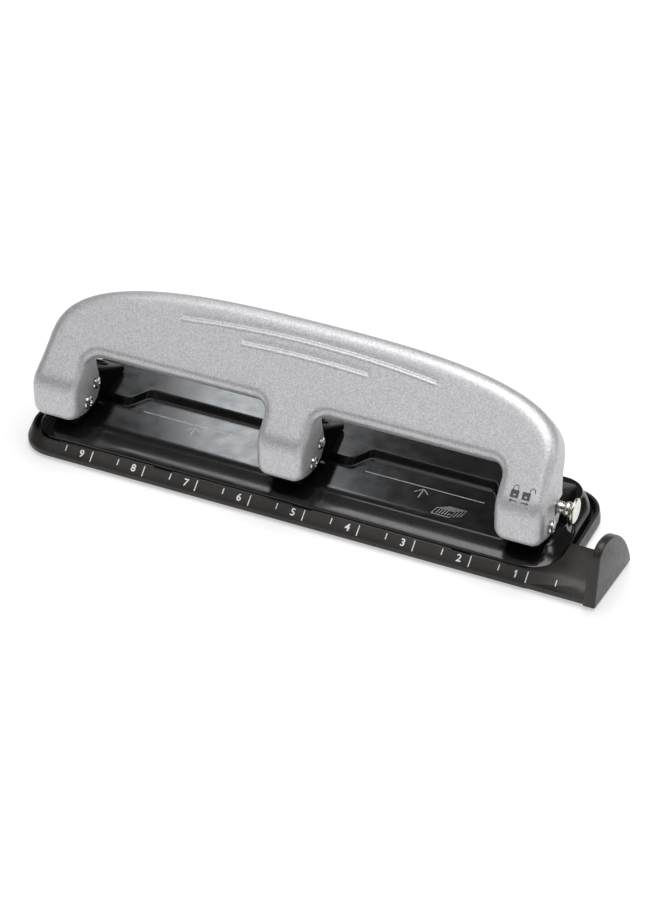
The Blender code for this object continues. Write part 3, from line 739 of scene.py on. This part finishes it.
def rounded_loop(left, right, front, back, radius, per_corner, spacing):
    """A rounded rectangle as (point, outward) pairs, with points along its straight sides too."""
    corners = (
        (right - radius, front + radius, -90.0),
        (right - radius, back - radius, 0.0),
        (left + radius, back - radius, 90.0),
        (left + radius, front + radius, 180.0),
    )
    loop = []
    for index, (x, y, start) in enumerate(corners):
        for i in range(per_corner + 1):
            angle = math.radians(start + 90.0 * i / per_corner)
            out = Vector((math.cos(angle), math.sin(angle)))
            loop.append((Vector((x, y)) + out * radius, out))
        after = corners[(index + 1) % 4]
        next_angle = math.radians(after[2])
        end = Vector(after[:2]) + Vector((math.cos(next_angle), math.sin(next_angle))) * radius
        begin = loop[-1][0]
        steps = max(int((end - begin).length / spacing), 1)
        loop += [(begin.lerp(end, k / steps), out) for k in range(1, steps)]
    return loop


def rim_loop(border):
    """The rim's points outward of the panel's border, one for each."""
    x_low = BASE_LEFT + SIDE_INSET + PANEL_CORNER
    x_high = BASE_RIGHT - SIDE_INSET - PANEL_CORNER
    y_low = PANEL_FRONT + PANEL_CORNER
    y_high = BASE_BACK - BACK_INSET - PANEL_CORNER
    made = []
    for point, out in border:
        share_x = (min(max(point.x, x_low), x_high) - x_low) / (x_high - x_low)
        share_y = (min(max(point.y, y_low), y_high) - y_low) / (y_high - y_low)
        centre_x = BASE_LEFT + BASE_CORNER + share_x * (BASE_RIGHT - BASE_LEFT - 2.0 * BASE_CORNER)
        centre_y = BASE_FRONT + BASE_CORNER + share_y * (BASE_BACK - BASE_FRONT - 2.0 * BASE_CORNER)
        made.append(Vector((centre_x, centre_y)) + out * BASE_CORNER)
    return made


def base_skin():
    """The panel with its backstop, and the skirt round it, before they get their thickness."""
    border = rounded_loop(
        BASE_LEFT + SIDE_INSET, BASE_RIGHT - SIDE_INSET, PANEL_FRONT, BASE_BACK - BACK_INSET,
        PANEL_CORNER, BASE_ARC_STEPS, BASE_SPACING,
    )
    flat = [point for point, _ in border]
    outer = rim_loop(border)
    bm = bmesh.new()
    shoulder = BASE_EDGE_Z + SHOULDER_RISE
    rings = []
    for out_share, drop_share in SKIRT_PROFILE:
        row = []
        for point, rim in zip(flat, outer):
            spot = point.lerp(rim, out_share)
            top = base_height(point.x, point.y)
            row.append(bm.verts.new((spot.x, spot.y, top + (shoulder - top) * drop_share)))
        rings.append(row)
    rings.append([bm.verts.new((rim.x, rim.y, BASE_EDGE_Z - RIM_DROP)) for rim in outer])
    count = len(flat)
    for upper, lower in zip(rings, rings[1:]):
        for i in range(count):
            j = (i + 1) % count
            bm.faces.new((upper[i], lower[i], lower[j], upper[j]))
    lines = []
    for rise in STEP_ROWS:
        line = [Vector((x, stop_line(x) + rise * STEP_SETBACK)) for x in STEP_COLUMNS]
        lines.append([point for point in line if well_inside(point, flat, 0.3)])
    plain = [Vector((x, y)) for x in PLAIN_COLUMNS for y in PLAIN_ROWS]
    extra = [point for point in plain if well_inside(point, flat, 2.0)]
    fill(bm, rings[0], flat, extra, lines, lambda x, y: Vector((x, y, base_height(x, y))))
    return bm


BASE_SHARP = 50.0
DIE_HOLE = 4.1
RIVET_HOLE = 2.1
HOLE_BOTTOM = 4.0
HOLE_TOP = 20.0
RIVET_PLACES = ((-3.6, 46.0), (3.6, 46.0))


def drill(radius, x, y, low, high, segments):
    """An upright cutter."""
    return turned([(radius, low), (radius, high)], (x, y, 0.0), "Z", segments)


def build_base():
    base = piece("base", base_skin(), ENAMEL, "base", ("base_plate",), BASE_SHARP)
    add_sheet(base, BASE_SHEET)
    cutters = [drill(DIE_HOLE, x, PUNCH_Y, HOLE_BOTTOM, HOLE_TOP, 40) for x in HEADS.values()]
    for x in HEADS.values():
        for dx, y in RIVET_PLACES:
            cutters.append(drill(RIVET_HOLE, x + dx, y, HOLE_BOTTOM, HOLE_TOP, 20))
    cut(base, cutters)
    shade(base, BASE_SHARP)


# ---- tray, arm and stop

TRAY_LEFT = -125.5
TRAY_RIGHT = 127.7
TRAY_BACK = 67.0
TRAY_CORNER = 15.0
TRAY_RIM_Z = 6.8
TRAY_FLOOR = 1.6
RULER_FOOT_Z = 3.0
RULER_TOP = Vector((0.0, 4.4, 6.6))
ARM_BACK = 28.3
ARM_LEFT = 106.0
STOP_INNER_X = 139.7
STOP_OUTER_X = 145.4
# Notches for the base's snaps: their middles along the rim, and one's outline as (x, y)
NOTCHES = (-110.0, -55.0, 11.0, 84.0)
NOTCH_OUTLINE = ((-4.5, 4.3), (4.5, 4.3), (4.5, 9.0), (-4.5, 9.0))
NOTCH_DEPTH = 0.75
NOTCH_TOP = 9.0
TRAY_WALL = 2.2
# The tray's outside from its underside up, over the rim and down to its floor: inset, front y and z
TRAY_SECTIONS = (
    (1.0, 1.0, 0.0),
    (0.5, 0.5, 0.12),
    (0.12, 0.12, 0.5),
    (0.0, 0.0, 1.0),
    (0.05, 0.0, RULER_FOOT_Z - 0.25),
    (0.12, 0.18, RULER_FOOT_Z + 0.12),
    (0.68, RULER_TOP.y - 0.1, RULER_TOP.z - 0.12),
    (0.9, RULER_TOP.y + 0.15, RULER_TOP.z + 0.1),
    (1.2, RULER_TOP.y + 0.45, TRAY_RIM_Z),
    (1.8, RULER_TOP.y + 0.62, TRAY_RIM_Z),
    (TRAY_WALL, RULER_TOP.y + 0.7, TRAY_RIM_Z - 0.4),
    (TRAY_WALL, RULER_TOP.y + 0.7, TRAY_FLOOR),
)
TRAY_ARC_STEPS = 12
UNDIVIDED = 300


def level_loop(left, right, front, back, corner, z):
    loop = rounded_loop(left, right, front, back, corner, TRAY_ARC_STEPS, UNDIVIDED)
    return [Vector((point.x, point.y, z)) for point, _ in loop]


def tray_loop(inset, front, z):
    left, right = TRAY_LEFT + inset, TRAY_RIGHT - inset
    return level_loop(left, right, front, TRAY_BACK - inset, TRAY_CORNER - inset, z)


def arm_profile():
    """Side view of the arm as (y, z): the ruler's slope, the crown, and the pocket underneath."""
    top = [(0.9, 0.2), (0.45, 0.45), (0.3, 0.9), (0.3, RULER_FOOT_Z), (RULER_TOP.y + 0.1, RULER_TOP.z)]
    crown = [(6.0, 7.3), (8.0, 7.75), (11.0, 8.05), (15.0, 8.3), (19.0, 8.5), (23.0, 8.6), (26.0, 8.5)]
    top += crown + [(27.4, 8.1), (28.1, 7.3), (ARM_BACK, 6.0), (ARM_BACK, 0.2)]
    pocket = [(26.5, 0.2), (26.5, 5.0), (24.0, 6.5), (10.0, 6.2), (2.3, 2.4), (2.3, 0.2)]
    return top + pocket


NOSE_Y = 5.0
NOSE_Z = 25.0
NOSE_RADIUS = 6.0
NOSE_TURN = 11.0
STOP_DEPTH = 37.0
STOP_HEIGHT = NOSE_Z + NOSE_RADIUS
BACK_CURVE_Y = 1.15
BACK_CURVE_Z = 1.85
STOP_LEAN = 3.2
STOP_FLARE = 2.4


def stop_crown():
    """Outline of the paddle, from its front foot over the round top down to its back foot."""
    points = [(-0.6, 0.0), (NOSE_Y - NOSE_RADIUS, 8.0), (NOSE_Y - NOSE_RADIUS, 23.0)]
    for i in range(1, 10):
        angle = math.radians(180.0 - NOSE_TURN * i)
        points.append((NOSE_Y + NOSE_RADIUS * math.cos(angle), NOSE_Z + NOSE_RADIUS * math.sin(angle)))
    for i in range(1, 13):
        t = i / 12.0
        y = NOSE_Y + (STOP_DEPTH - NOSE_Y) * (1 - (1 - t) ** BACK_CURVE_Y)
        points.append((y, STOP_HEIGHT * (1.0 - t ** BACK_CURVE_Z)))
    return points


def stop_loops():
    """The paddle's two faces: it leans outward to the top and gets thicker to the back."""
    inner, outer = [], []
    for y, z in stop_crown():
        lean = STOP_LEAN * z / STOP_HEIGHT
        flare = STOP_FLARE * max(y, 0.0) / STOP_DEPTH
        inner.append((STOP_INNER_X + lean + 0.5 * flare, y, z))
        outer.append((STOP_OUTER_X + 0.35 * lean + flare, y, z))
    return [inner, outer]


TRAY_SHARP = 30.0
BASE_GAP = 0.5


def build_tray():
    body = loft([tray_loop(*section) for section in TRAY_SECTIONS])
    tray = piece("tray", body, PLASTIC, "tray", ("chip_tray",), TRAY_SHARP)
    left, right = BASE_LEFT - BASE_GAP, BASE_RIGHT + BASE_GAP
    front, back = BASE_FRONT - BASE_GAP, BASE_BACK + BASE_GAP
    corner = BASE_CORNER + BASE_GAP
    recess = [level_loop(left, right, front, back, corner, z) for z in (TRAY_FLOOR + 0.1, 20.0)]
    beam = prism_x(arm_profile(), ARM_LEFT, STOP_INNER_X + 2.0)
    arm = piece("arm", beam, PLASTIC, "tray")
    cut(arm, [loft(recess)])
    stop = piece("stop", loft(stop_loops()), PLASTIC, "tray")
    bevel(stop, 0.9, 4, 50.0)
    apply_modifiers(stop)
    combine(tray, (arm, stop), "UNION")
    slots = []
    for x in NOTCHES:
        levels = (TRAY_RIM_Z - NOTCH_DEPTH, NOTCH_TOP)
        slots.append(loft([[(x + dx, y, z) for dx, y in NOTCH_OUTLINE] for z in levels]))
    cut(tray, slots)
    bevel(tray, 0.22, 2, 35.0)
    apply_modifiers(tray)
    shade(tray, TRAY_SHARP)


# ---- printed marks


# Ink starts just under the surface and stands a little above it
INK_FOOT = -0.02
INK_TOP = 0.03
INK_SECTION = ((-1, INK_FOOT), (1, INK_FOOT), (1, INK_TOP), (-1, INK_TOP))


def strip(points, width, lift):
    """A thin flat band along points that are (place, across) pairs of vectors."""
    bm = bmesh.new()
    rows = []
    for spot, across in points:
        half = across.normalized() * width / 2.0
        rows.append([bm.verts.new(spot + half * side + lift * rise) for side, rise in INK_SECTION])
    for a, b in zip(rows, rows[1:]):
        for i in range(4):
            j = (i + 1) % 4
            bm.faces.new((a[i], a[j], b[j], b[i]))
    bm.faces.new(rows[0])
    bm.faces.new(rows[-1])
    return bm


def join_meshes(parts):
    whole = bmesh.new()
    for part in parts:
        mesh = bpy.data.meshes.new("part")
        part.to_mesh(mesh)
        part.free()
        whole.from_mesh(mesh)
        bpy.data.meshes.remove(mesh)
    return whole


def strokes(lines, surface, width):
    """Thin bands along lines of flat (a, b) points; surface gives each point's place and its normal."""
    parts = []
    for line in lines:
        spots = [surface(a, b) for a, b in line]
        pairs = []
        for i, (spot, normal) in enumerate(spots):
            ahead = spots[min(i + 1, len(spots) - 1)][0]
            behind = spots[max(i - 1, 0)][0]
            pairs.append((spot, normal.cross(ahead - behind)))
        parts.append(strip(pairs, width, spots[0][1]))
    return parts


UP = Vector((0.0, 0.0, 1.0))


def on_panel(x, y):
    return Vector((x, y, PANEL_Z)), UP


def on_ruler(x, share):
    """A point of the tray's sloping ruler: share runs from its foot to its top."""
    foot = Vector((x, 0.0, RULER_FOOT_Z))
    top = Vector((x, RULER_TOP.y, RULER_TOP.z))
    normal = Vector((0.0, -(RULER_TOP.z - RULER_FOOT_Z), RULER_TOP.y)).normalized()
    return foot.lerp(top, share), normal


def on_foot(x, s):
    _, slope = face_point(s)
    return on_face(x, s), Vector((0.0, -math.sin(slope), math.cos(slope)))


def stack_icon(x, y):
    """A stack of sheets drawn in a slanted view."""
    def slanted(points):
        return [(x + 0.84 * a + 0.2 * b, y + 0.9 * b) for a, b in points]

    lines = [slanted([(0, 0), (0, 5), (10, 5), (10, 0), (0, 0)])]
    lines += [slanted([(2.0 + 1.5 * k, 1.0), (2.0 + 1.5 * k, 4.2)]) for k in range(4)]
    lines += [slanted([(8.0, 1.0), (8.0, 2.6), (9.2, 2.6)])]
    for k in (1, 2, 3):
        a, b = 1.4 * k, 0.9 * k
        lines.append(slanted([(a, 5 + b), (10 + a, 5 + b), (10 + a, b)]))
    return lines


INK_WIDTH = 0.42
FINE_INK_WIDTH = 0.3
# Lines that show how deep the paper goes in, and the arrows that point at them
DEPTH_LINES = ((-80.0, -27.0), (27.0, 82.0))
DEPTH_LINE_Y = 35.0
ARROWS_X = (-53.4, 54.9)
ARROW_TIP_Y = 33.6
ARROW_TAIL_Y = 27.2
ARROW_BARB = 3.2
STACK_PLACE = (64.0, 19.6)


def build_print():
    lines = [[(start, DEPTH_LINE_Y), (end, DEPTH_LINE_Y)] for start, end in DEPTH_LINES]
    barb_y = ARROW_TIP_Y - ARROW_BARB
    for x in ARROWS_X:
        lines.append([(x, ARROW_TIP_Y), (x, ARROW_TAIL_Y)])
        lines.append([(x - ARROW_BARB, barb_y), (x, ARROW_TIP_Y), (x + ARROW_BARB, barb_y)])
    bm = join_meshes(strokes(lines, on_panel, INK_WIDTH))
    piece("panel_print", bm, WHITE_INK, "base")
    bm = join_meshes(strokes(stack_icon(*STACK_PLACE), on_panel, FINE_INK_WIDTH))
    piece("stack_print", bm, WHITE_INK, "base")


INCH = 25.4
DIGIT_HEIGHT = 3.2
DIGIT_SHARE = 0.52
DIGIT_OFFSET = 4.9
# A glyph's font size for each unit of its height
GLYPH_SIZE = 1.42
GLYPH_BOLDNESS = 0.075
GLYPH_RELIEF = 0.03


def digit(text, x):
    """A digit lying on the ruler, made from the built-in font."""
    curve = bpy.data.curves.new("digit_" + text, "FONT")
    curve.body = text
    curve.size = GLYPH_SIZE * DIGIT_HEIGHT * MM
    curve.align_x = "CENTER"
    curve.align_y = "CENTER"
    curve.offset = GLYPH_BOLDNESS * MM
    curve.extrude = GLYPH_RELIEF * MM
    curve.resolution_u = 6
    made = add_object("digit_" + text, curve)
    spot, normal = on_ruler(x, DIGIT_SHARE)
    tilt = math.atan2(-normal.y, normal.z)
    made.matrix_world = Matrix.Translation((spot - ORIGIN) * MM) @ Matrix.Rotation(tilt, 4, "X")
    curve.materials.append(WHITE_INK)
    bpy.context.view_layer.update()
    graph = bpy.context.evaluated_depsgraph_get()
    mesh = bpy.data.meshes.new_from_object(made.evaluated_get(graph), depsgraph=graph)
    mesh.transform(made.matrix_world)
    bpy.data.objects.remove(made, do_unlink=True)
    whole = add_object("ruler_digit_" + text, mesh)
    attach(whole, "tray")


def build_ruler():
    """Marks for whole and half inches from the stop's inner face, and digits beside the whole ones."""
    lines = []
    for n in range(1, 10):
        x = STOP_INNER_X - INCH * n
        lines.append([(x, 0.08), (x, 0.94)])
        digit(str(n), x - DIGIT_OFFSET)
    # The flag at the top of the digit 1
    flag_x = STOP_INNER_X - INCH - DIGIT_OFFSET
    lines.append([(flag_x - 0.75, 0.66), (flag_x - 0.05, 0.76)])
    for n in range(10):
        x = STOP_INNER_X - INCH * (n + 0.5)
        lines.append([(x, 0.42), (x, 0.9)])
    bm = join_meshes(strokes(lines, on_ruler, INK_WIDTH))
    piece("ruler_marks", bm, WHITE_INK, "tray")


# Padlock pictograms: x, the shackle's sideways shift when open, and the way its arrow points
PADLOCKS = ((105.1, 0.0, -1.0), (110.1, 2.2, 1.0))
PADLOCK_FOOT = 23.5
PADLOCK_HALF = 1.75
PADLOCK_HEIGHT = 2.9
PADLOCK_ROWS = 4
KEYHOLE_ROW = 1
KEYHOLE_HALF = 0.5
HOOP_RADIUS = 1.05
HOOP_RISE = 1.3
BOLD_STROKE = 0.95
THIN_STROKE = 0.36


def padlock_body(x):
    """Bold rows that fill the body and leave a keyhole free."""
    rows = []
    for k in range(PADLOCK_ROWS):
        s = PADLOCK_FOOT + 0.3 + k * (PADLOCK_HEIGHT - 0.5) / (PADLOCK_ROWS - 1.0)
        ends = [x - PADLOCK_HALF, x + PADLOCK_HALF]
        if k == KEYHOLE_ROW:
            ends[1:1] = [x - KEYHOLE_HALF, x + KEYHOLE_HALF]
        rows += [[(start, s), (end, s)] for start, end in zip(ends[::2], ends[1::2])]
    return rows


def padlock_lines(x, shackle, arrow):
    """The shackle, and the arrow under the padlock."""
    top = PADLOCK_FOOT + PADLOCK_HEIGHT
    hoop = corner_arc(x + shackle, top + HOOP_RISE, HOOP_RADIUS, 180.0, 0.0, "hoop")
    hoop = [(a, s) for a, s, _ in hoop]
    first = [(hoop[0][0], top - 0.1)]
    last = [(hoop[-1][0], top + (0.5 if shackle else -0.1))]
    tail, tip = (x - 1.6 * arrow, x + 1.6 * arrow)
    barb = tip - 0.8 * arrow
    low, middle, high = (PADLOCK_FOOT - drop for drop in (2.1, 1.5, 0.9))
    head = [(barb, high), (tip, middle), (barb, low)]
    return [first + hoop + last, [(tail, middle), (tip, middle)], head]


def build_padlocks():
    bold, thin = [], []
    for x, shackle, arrow in PADLOCKS:
        bold += padlock_body(x)
        thin += padlock_lines(x, shackle, arrow)
    parts = strokes(bold, on_foot, BOLD_STROKE) + strokes(thin, on_foot, THIN_STROKE)
    piece("padlock_print", join_meshes(parts), GREY_INK, "handle")


# ---- punching heads

BRACKET_HALF = 8.3
BRACKET_SHEET = 1.5
BRACKET_SHARP = 35.0
WEB_Z = 31.5
CLIP_Z = 42.2
HANDLE_TRAVEL = math.radians(25.0)
# Side view of a bracket and of the hollow in it, as (y, z)
BRACKET_OUTLINE = (
    (10.8, 13.0), (35.5, 13.0), (37.7, 14.1), (55.2, 14.1), (55.2, 16.8), (54.2, 17.7),
    (29.4, 31.1), (27.8, WEB_Z), (12.8, WEB_Z), (10.8, 29.5),
)
BRACKET_HOLLOW = (
    (5.0, 14.5), (36.0, 14.5), (38.6, 12.0), (41.5, 12.0), (41.5, 15.6), (50.6, 15.6),
    (50.6, 12.0), (53.7, 12.0), (53.7, 16.3), (28.0, 30.0), (5.0, 30.0),
)
WEB_SLOPE_START = 28.4
WEB_SLOPE = math.atan2(WEB_Z - 17.7, 54.2 - WEB_SLOPE_START)
WEB_HOLE_Y = 46.0
WEB_HOLE = 2.5
COLLAR_PROFILE = ((4.9, -1.0), (4.7, 0.0), (4.2, 0.45), (3.8, 0.6), (3.2, 0.6), (2.6, 0.3), (2.6, -1.0))
PUNCH_BORE = 3.85
PIVOT_BORE = 2.35
RIVET_BORE = 2.0
BORE_REACH = 14.0
# The drive pin's slot: how far along the handle's travel, and the radius there
DRIVE_SLOT = ((0.0, 2.75), (0.5, 2.05), (1.0, 2.75))


def drive_at(angle):
    """Where the drive pins' axis is when the handle has turned by an angle."""
    arm = DRIVE - PIVOT
    y = arm.y * math.cos(angle) + arm.z * math.sin(angle)
    z = arm.z * math.cos(angle) - arm.y * math.sin(angle)
    return Vector((0.0, PIVOT.y + y, PIVOT.z + z))


def cross_bore(radius, centre):
    return turned([(radius, -BORE_REACH), (radius, BORE_REACH)], centre, "X", 24)


def tilted(profile, segments, centre):
    """A body turned about the normal of the bracket's sloping web."""
    bm = turned(profile, (0.0, 0.0, 0.0), "Z", segments)
    turn = Matrix.Translation(centre) @ Matrix.Rotation(-WEB_SLOPE, 4, "X")
    bmesh.ops.transform(bm, matrix=turn, verts=bm.verts)
    return bm


def build_bracket(side, x):
    shell = prism_x(BRACKET_OUTLINE, x - BRACKET_HALF, x + BRACKET_HALF)
    node = "punch_bracket_" + side
    name = "bracket_" + side
    bracket = piece(name, shell, BRACKET_ENAMEL, "base", (node,), BRACKET_SHARP)
    bevel(bracket, 1.1, 4, 40.0)
    apply_modifiers(bracket)
    web_z = WEB_Z - (WEB_HOLE_Y - WEB_SLOPE_START) * math.tan(WEB_SLOPE)
    web = Vector((x, WEB_HOLE_Y, web_z))
    cut(bracket, [tilted(COLLAR_PROFILE, 32, web)], "UNION")
    half = BRACKET_HALF - BRACKET_SHEET
    cuts = [
        prism_x(BRACKET_HOLLOW, x - half, x + half),
        drill(PUNCH_BORE, x, PUNCH_Y, 10.0, 40.0, 32),
        cross_bore(PIVOT_BORE, (x, PIVOT.y, PIVOT.z)),
        tilted([(WEB_HOLE, -4.0), (WEB_HOLE, 6.0)], 28, web),
    ]
    for share, radius in DRIVE_SLOT:
        cuts.append(cross_bore(radius, drive_at(HANDLE_TRAVEL * share) + Vector((x, 0.0, 0.0))))
    for dx, y in RIVET_PLACES:
        cuts.append(drill(RIVET_BORE, x + dx, y, 10.0, 15.9, 16))
    cut(bracket, cuts)
    shade(bracket, BRACKET_SHARP)


HEAD_X = FOOT_HALF + 0.3
HEAD_RIPPLE = 0.16


# Heads of the pins as (radius, distance outward from the foot's side)
PIVOT_LEFT = ((0.9, 2.2), (1.7, 2.1), (2.2, 1.6), (2.6, 0.0), (2.0, 0.0))
PIVOT_RIGHT = (
    (2.0, 0.0), (2.9, 0.0), (3.05, 0.35), (2.8, 0.95), (2.1, 1.4), (1.5, 1.45), (1.2, 0.9), (0.5, 0.7),
)
DRIVE_LEFT = ((0.9, 1.1), (1.6, 0.9), (2.1, 0.4), (2.1, 0.0), (1.5, 0.0))
DRIVE_RIGHT = (
    (1.5, 0.0), (2.7, 0.0), (2.85, 0.3), (2.6, 0.85), (1.9, 1.3), (1.4, 1.35), (1.1, 0.8), (0.4, 0.65),
)


def headed_pin(left, right, x, axis):
    profile = [(r, -HEAD_X - a) for r, a in left] + [(r, HEAD_X + a) for r, a in right]
    return turned(profile, (x, axis.y, axis.z), "X", 32, HEAD_RIPPLE)


def build_pivot_rivet(side, x):
    bm = headed_pin(PIVOT_LEFT, PIVOT_RIGHT, x, PIVOT)
    piece("pivot_" + side, bm, NICKEL, "base", ("pivot_rivet_" + side,))


def build_drive_pin(side, x):
    bm = headed_pin(DRIVE_LEFT, DRIVE_RIGHT, x, DRIVE)
    piece("pin_" + side, bm, NICKEL, "handle", ("drive_pin_" + side,))


SPRING_WIRE = 0.45
SPRING_RADIUS = 4.75
SPRING_TURNS = 5.6
SPRING_GAP = 0.3
SPRING_STEPS = 224
WIRE_SIDES = 10


def build_spring(side, x):
    """The return spring, a fixed coil standing between the bracket's web and the clip above it."""
    foot = WEB_Z + SPRING_GAP
    low = foot + SPRING_WIRE
    high = CLIP_Z - SPRING_GAP - SPRING_WIRE
    loops = []
    for i in range(SPRING_STEPS + 1):
        share = i / SPRING_STEPS
        angle = 2.0 * math.pi * SPRING_TURNS * share
        rise = min(max((share - 0.1) / 0.8, 0.0), 1.0)
        climb = smooth_step(rise) * 0.35 + rise * 0.65
        out = Vector((math.cos(angle), math.sin(angle), 0.0))
        centre = Vector((x, PUNCH_Y, low + (high - low) * climb)) + out * SPRING_RADIUS
        loop = []
        for k in range(WIRE_SIDES):
            turn = 2.0 * math.pi * k / WIRE_SIDES
            loop.append(centre + out * SPRING_WIRE * math.cos(turn) + UP * SPRING_WIRE * math.sin(turn))
        loops.append(loop)
    node = "return_spring_" + side
    spring = piece("spring_" + side, loft(loops), STEEL, "base", (node,), 60.0)
    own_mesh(spring)


# The lock pin as (radius, distance to the right of its foot's middle): shank, two collars and the disc
LOCK_PROFILE = (
    (1.1, -12.4), (1.5, -12.0), (1.5, 9.5), (2.6, 9.9), (2.6, 13.3), (2.1, 13.7), (2.1, 14.0),
    (2.7, 14.3), (3.1, 14.8), (3.3, 15.5), (3.1, 16.3), (2.5, 16.9), (1.9, 17.2), (1.9, 17.6),
    (4.6, 17.75), (5.3, 18.0), (5.55, 18.4), (5.4, 18.9), (4.9, 19.2), (4.0, 19.3), (3.0, 19.15),
    (2.0, 19.0), (0.8, 19.0),
)


def build_lock_pin():
    bm = turned(rounded(LOCK_PROFILE, 0.3, 2), (HEADS["right"], DRIVE.y, DRIVE.z), "X", 48)
    piece("lock", bm, NICKEL, "lock_pin", ("lock_pin",), 40.0)


# Finished materials of the CAD nodes that still show, by the start of their names
NODE_LOOKS = {
    "punch_pin": STEEL,
    "die_ring": STEEL,
    "bracket_rivet": STEEL,
    "retaining_clip": NICKEL,
    "rubber_foot": RUBBER,
}


def dress_cad_nodes():
    for name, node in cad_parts.items():
        for start, look in NODE_LOOKS.items():
            if name.startswith(start):
                node.data.materials.clear()
                node.data.materials.append(look)


# ---- studio


WHITE = (1.0, 1.0, 1.0)
# Soft boxes: name, place and size in metres, power in watts, colour
LAMPS = (
    ("overhead", (0.25, 0.25, 2.2), (2.4, 1.8), 56.0, WHITE),
    ("front_left", (-1.15, -1.65, 2.3), (1.7, 1.3), 9.0, WHITE),
    ("panel_strip", (-0.73, 1.402, 1.18), (0.12, 0.5), 1.5, (0.93, 0.97, 1.0)),
    ("right_rim", (1.9, 0.5, 0.9), (0.9, 0.7), 4.6, WHITE),
)
LAMP_TARGET = Vector((0.0, 0.0, 0.03))
WORLD_STRENGTH = 0.07
FLOOR_HALF = 6.0
FLOOR_Z = -0.0002
FLOOR_GLOW = 0.5


def lamp(name, at, size, power, colour):
    """A rectangular soft box that faces the punch."""
    data = bpy.data.lights.new(name, "AREA")
    data.shape = "RECTANGLE"
    data.size, data.size_y = size
    data.energy = power
    data.color = colour
    made = add_object(name, data)
    made.location = at
    made.rotation_euler = (LAMP_TARGET - Vector(at)).to_track_quat("-Z", "Y").to_euler()


def build_floor():
    h = FLOOR_HALF
    bm = bmesh.new()
    bm.faces.new([bm.verts.new((x, y, FLOOR_Z)) for x, y in ((-h, -h), (h, -h), (h, h), (-h, h))])
    mesh = bpy.data.meshes.new("floor")
    bm.to_mesh(mesh)
    bm.free()
    floor = add_object("floor", mesh)
    n = Nodes("pale_paper")
    n.colour(n.noise(6.0, 2.0), (0.54, 0.54, 0.54), (0.56, 0.56, 0.56))
    n.set(Roughness=0.9, Specular_IOR_Level=0.0, Emission_Color=(*WHITE, 1.0), Emission_Strength=FLOOR_GLOW)
    mesh.materials.append(n.material)


def build_lights():
    world = bpy.data.worlds.new("studio")
    world.use_nodes = True
    background = world.node_tree.nodes["Background"]
    background.inputs["Color"].default_value = (*WHITE, 1.0)
    background.inputs["Strength"].default_value = WORLD_STRENGTH
    bpy.context.scene.world = world
    for name, at, size, power, colour in LAMPS:
        lamp(name, at, size, power, colour)


CAMERA_AZIMUTH = math.radians(24.355)
CAMERA_ELEVATION = math.radians(36.0)
CAMERA_ROLL = math.radians(0.096)
CAMERA_DISTANCE = 1265.1
# Where the camera's frame sees the layout point (0, 2, 4.5), to the right of and below its middle
AIM_POINT = Vector((0.0, 2.0, 4.5))
AIM_OFFSET = (-23.03, -25.02)
FOCAL_LENGTH = 162.17
SENSOR_WIDTH = 36.0


def build_camera():
    a, e = CAMERA_AZIMUTH, CAMERA_ELEVATION
    right = Vector((math.cos(a), math.sin(a), 0.0))
    forward = Vector((-math.sin(a) * math.cos(e), math.cos(a) * math.cos(e), -math.sin(e)))
    up = right.cross(forward)
    roll_right = right * math.cos(CAMERA_ROLL) + up * math.sin(CAMERA_ROLL)
    roll_up = up * math.cos(CAMERA_ROLL) - right * math.sin(CAMERA_ROLL)
    centre = AIM_POINT - roll_right * AIM_OFFSET[0] - roll_up * AIM_OFFSET[1] - forward * CAMERA_DISTANCE
    data = bpy.data.cameras.new("camera")
    data.sensor_fit = "HORIZONTAL"
    data.sensor_width = SENSOR_WIDTH
    data.lens = FOCAL_LENGTH
    data.clip_start = 0.01
    data.clip_end = 50.0
    camera = add_object("camera", data)
    turn = Matrix((roll_right, roll_up, -forward)).transposed().to_4x4()
    camera.matrix_world = Matrix.Translation((centre - ORIGIN) * MM) @ turn
    bpy.context.scene.camera = camera


def main():
    build_camera()
    build_floor()
    build_lights()
    build_handle()
    build_padlocks()
    build_base()
    build_print()
    build_tray()
    build_ruler()
    for side, x in HEADS.items():
        build_bracket(side, x)
        build_pivot_rivet(side, x)
        build_spring(side, x)
        if side != "right":
            build_drive_pin(side, x)
    build_lock_pin()
    dress_cad_nodes()
    bpy.context.scene.view_settings.view_transform = "Standard"


main()
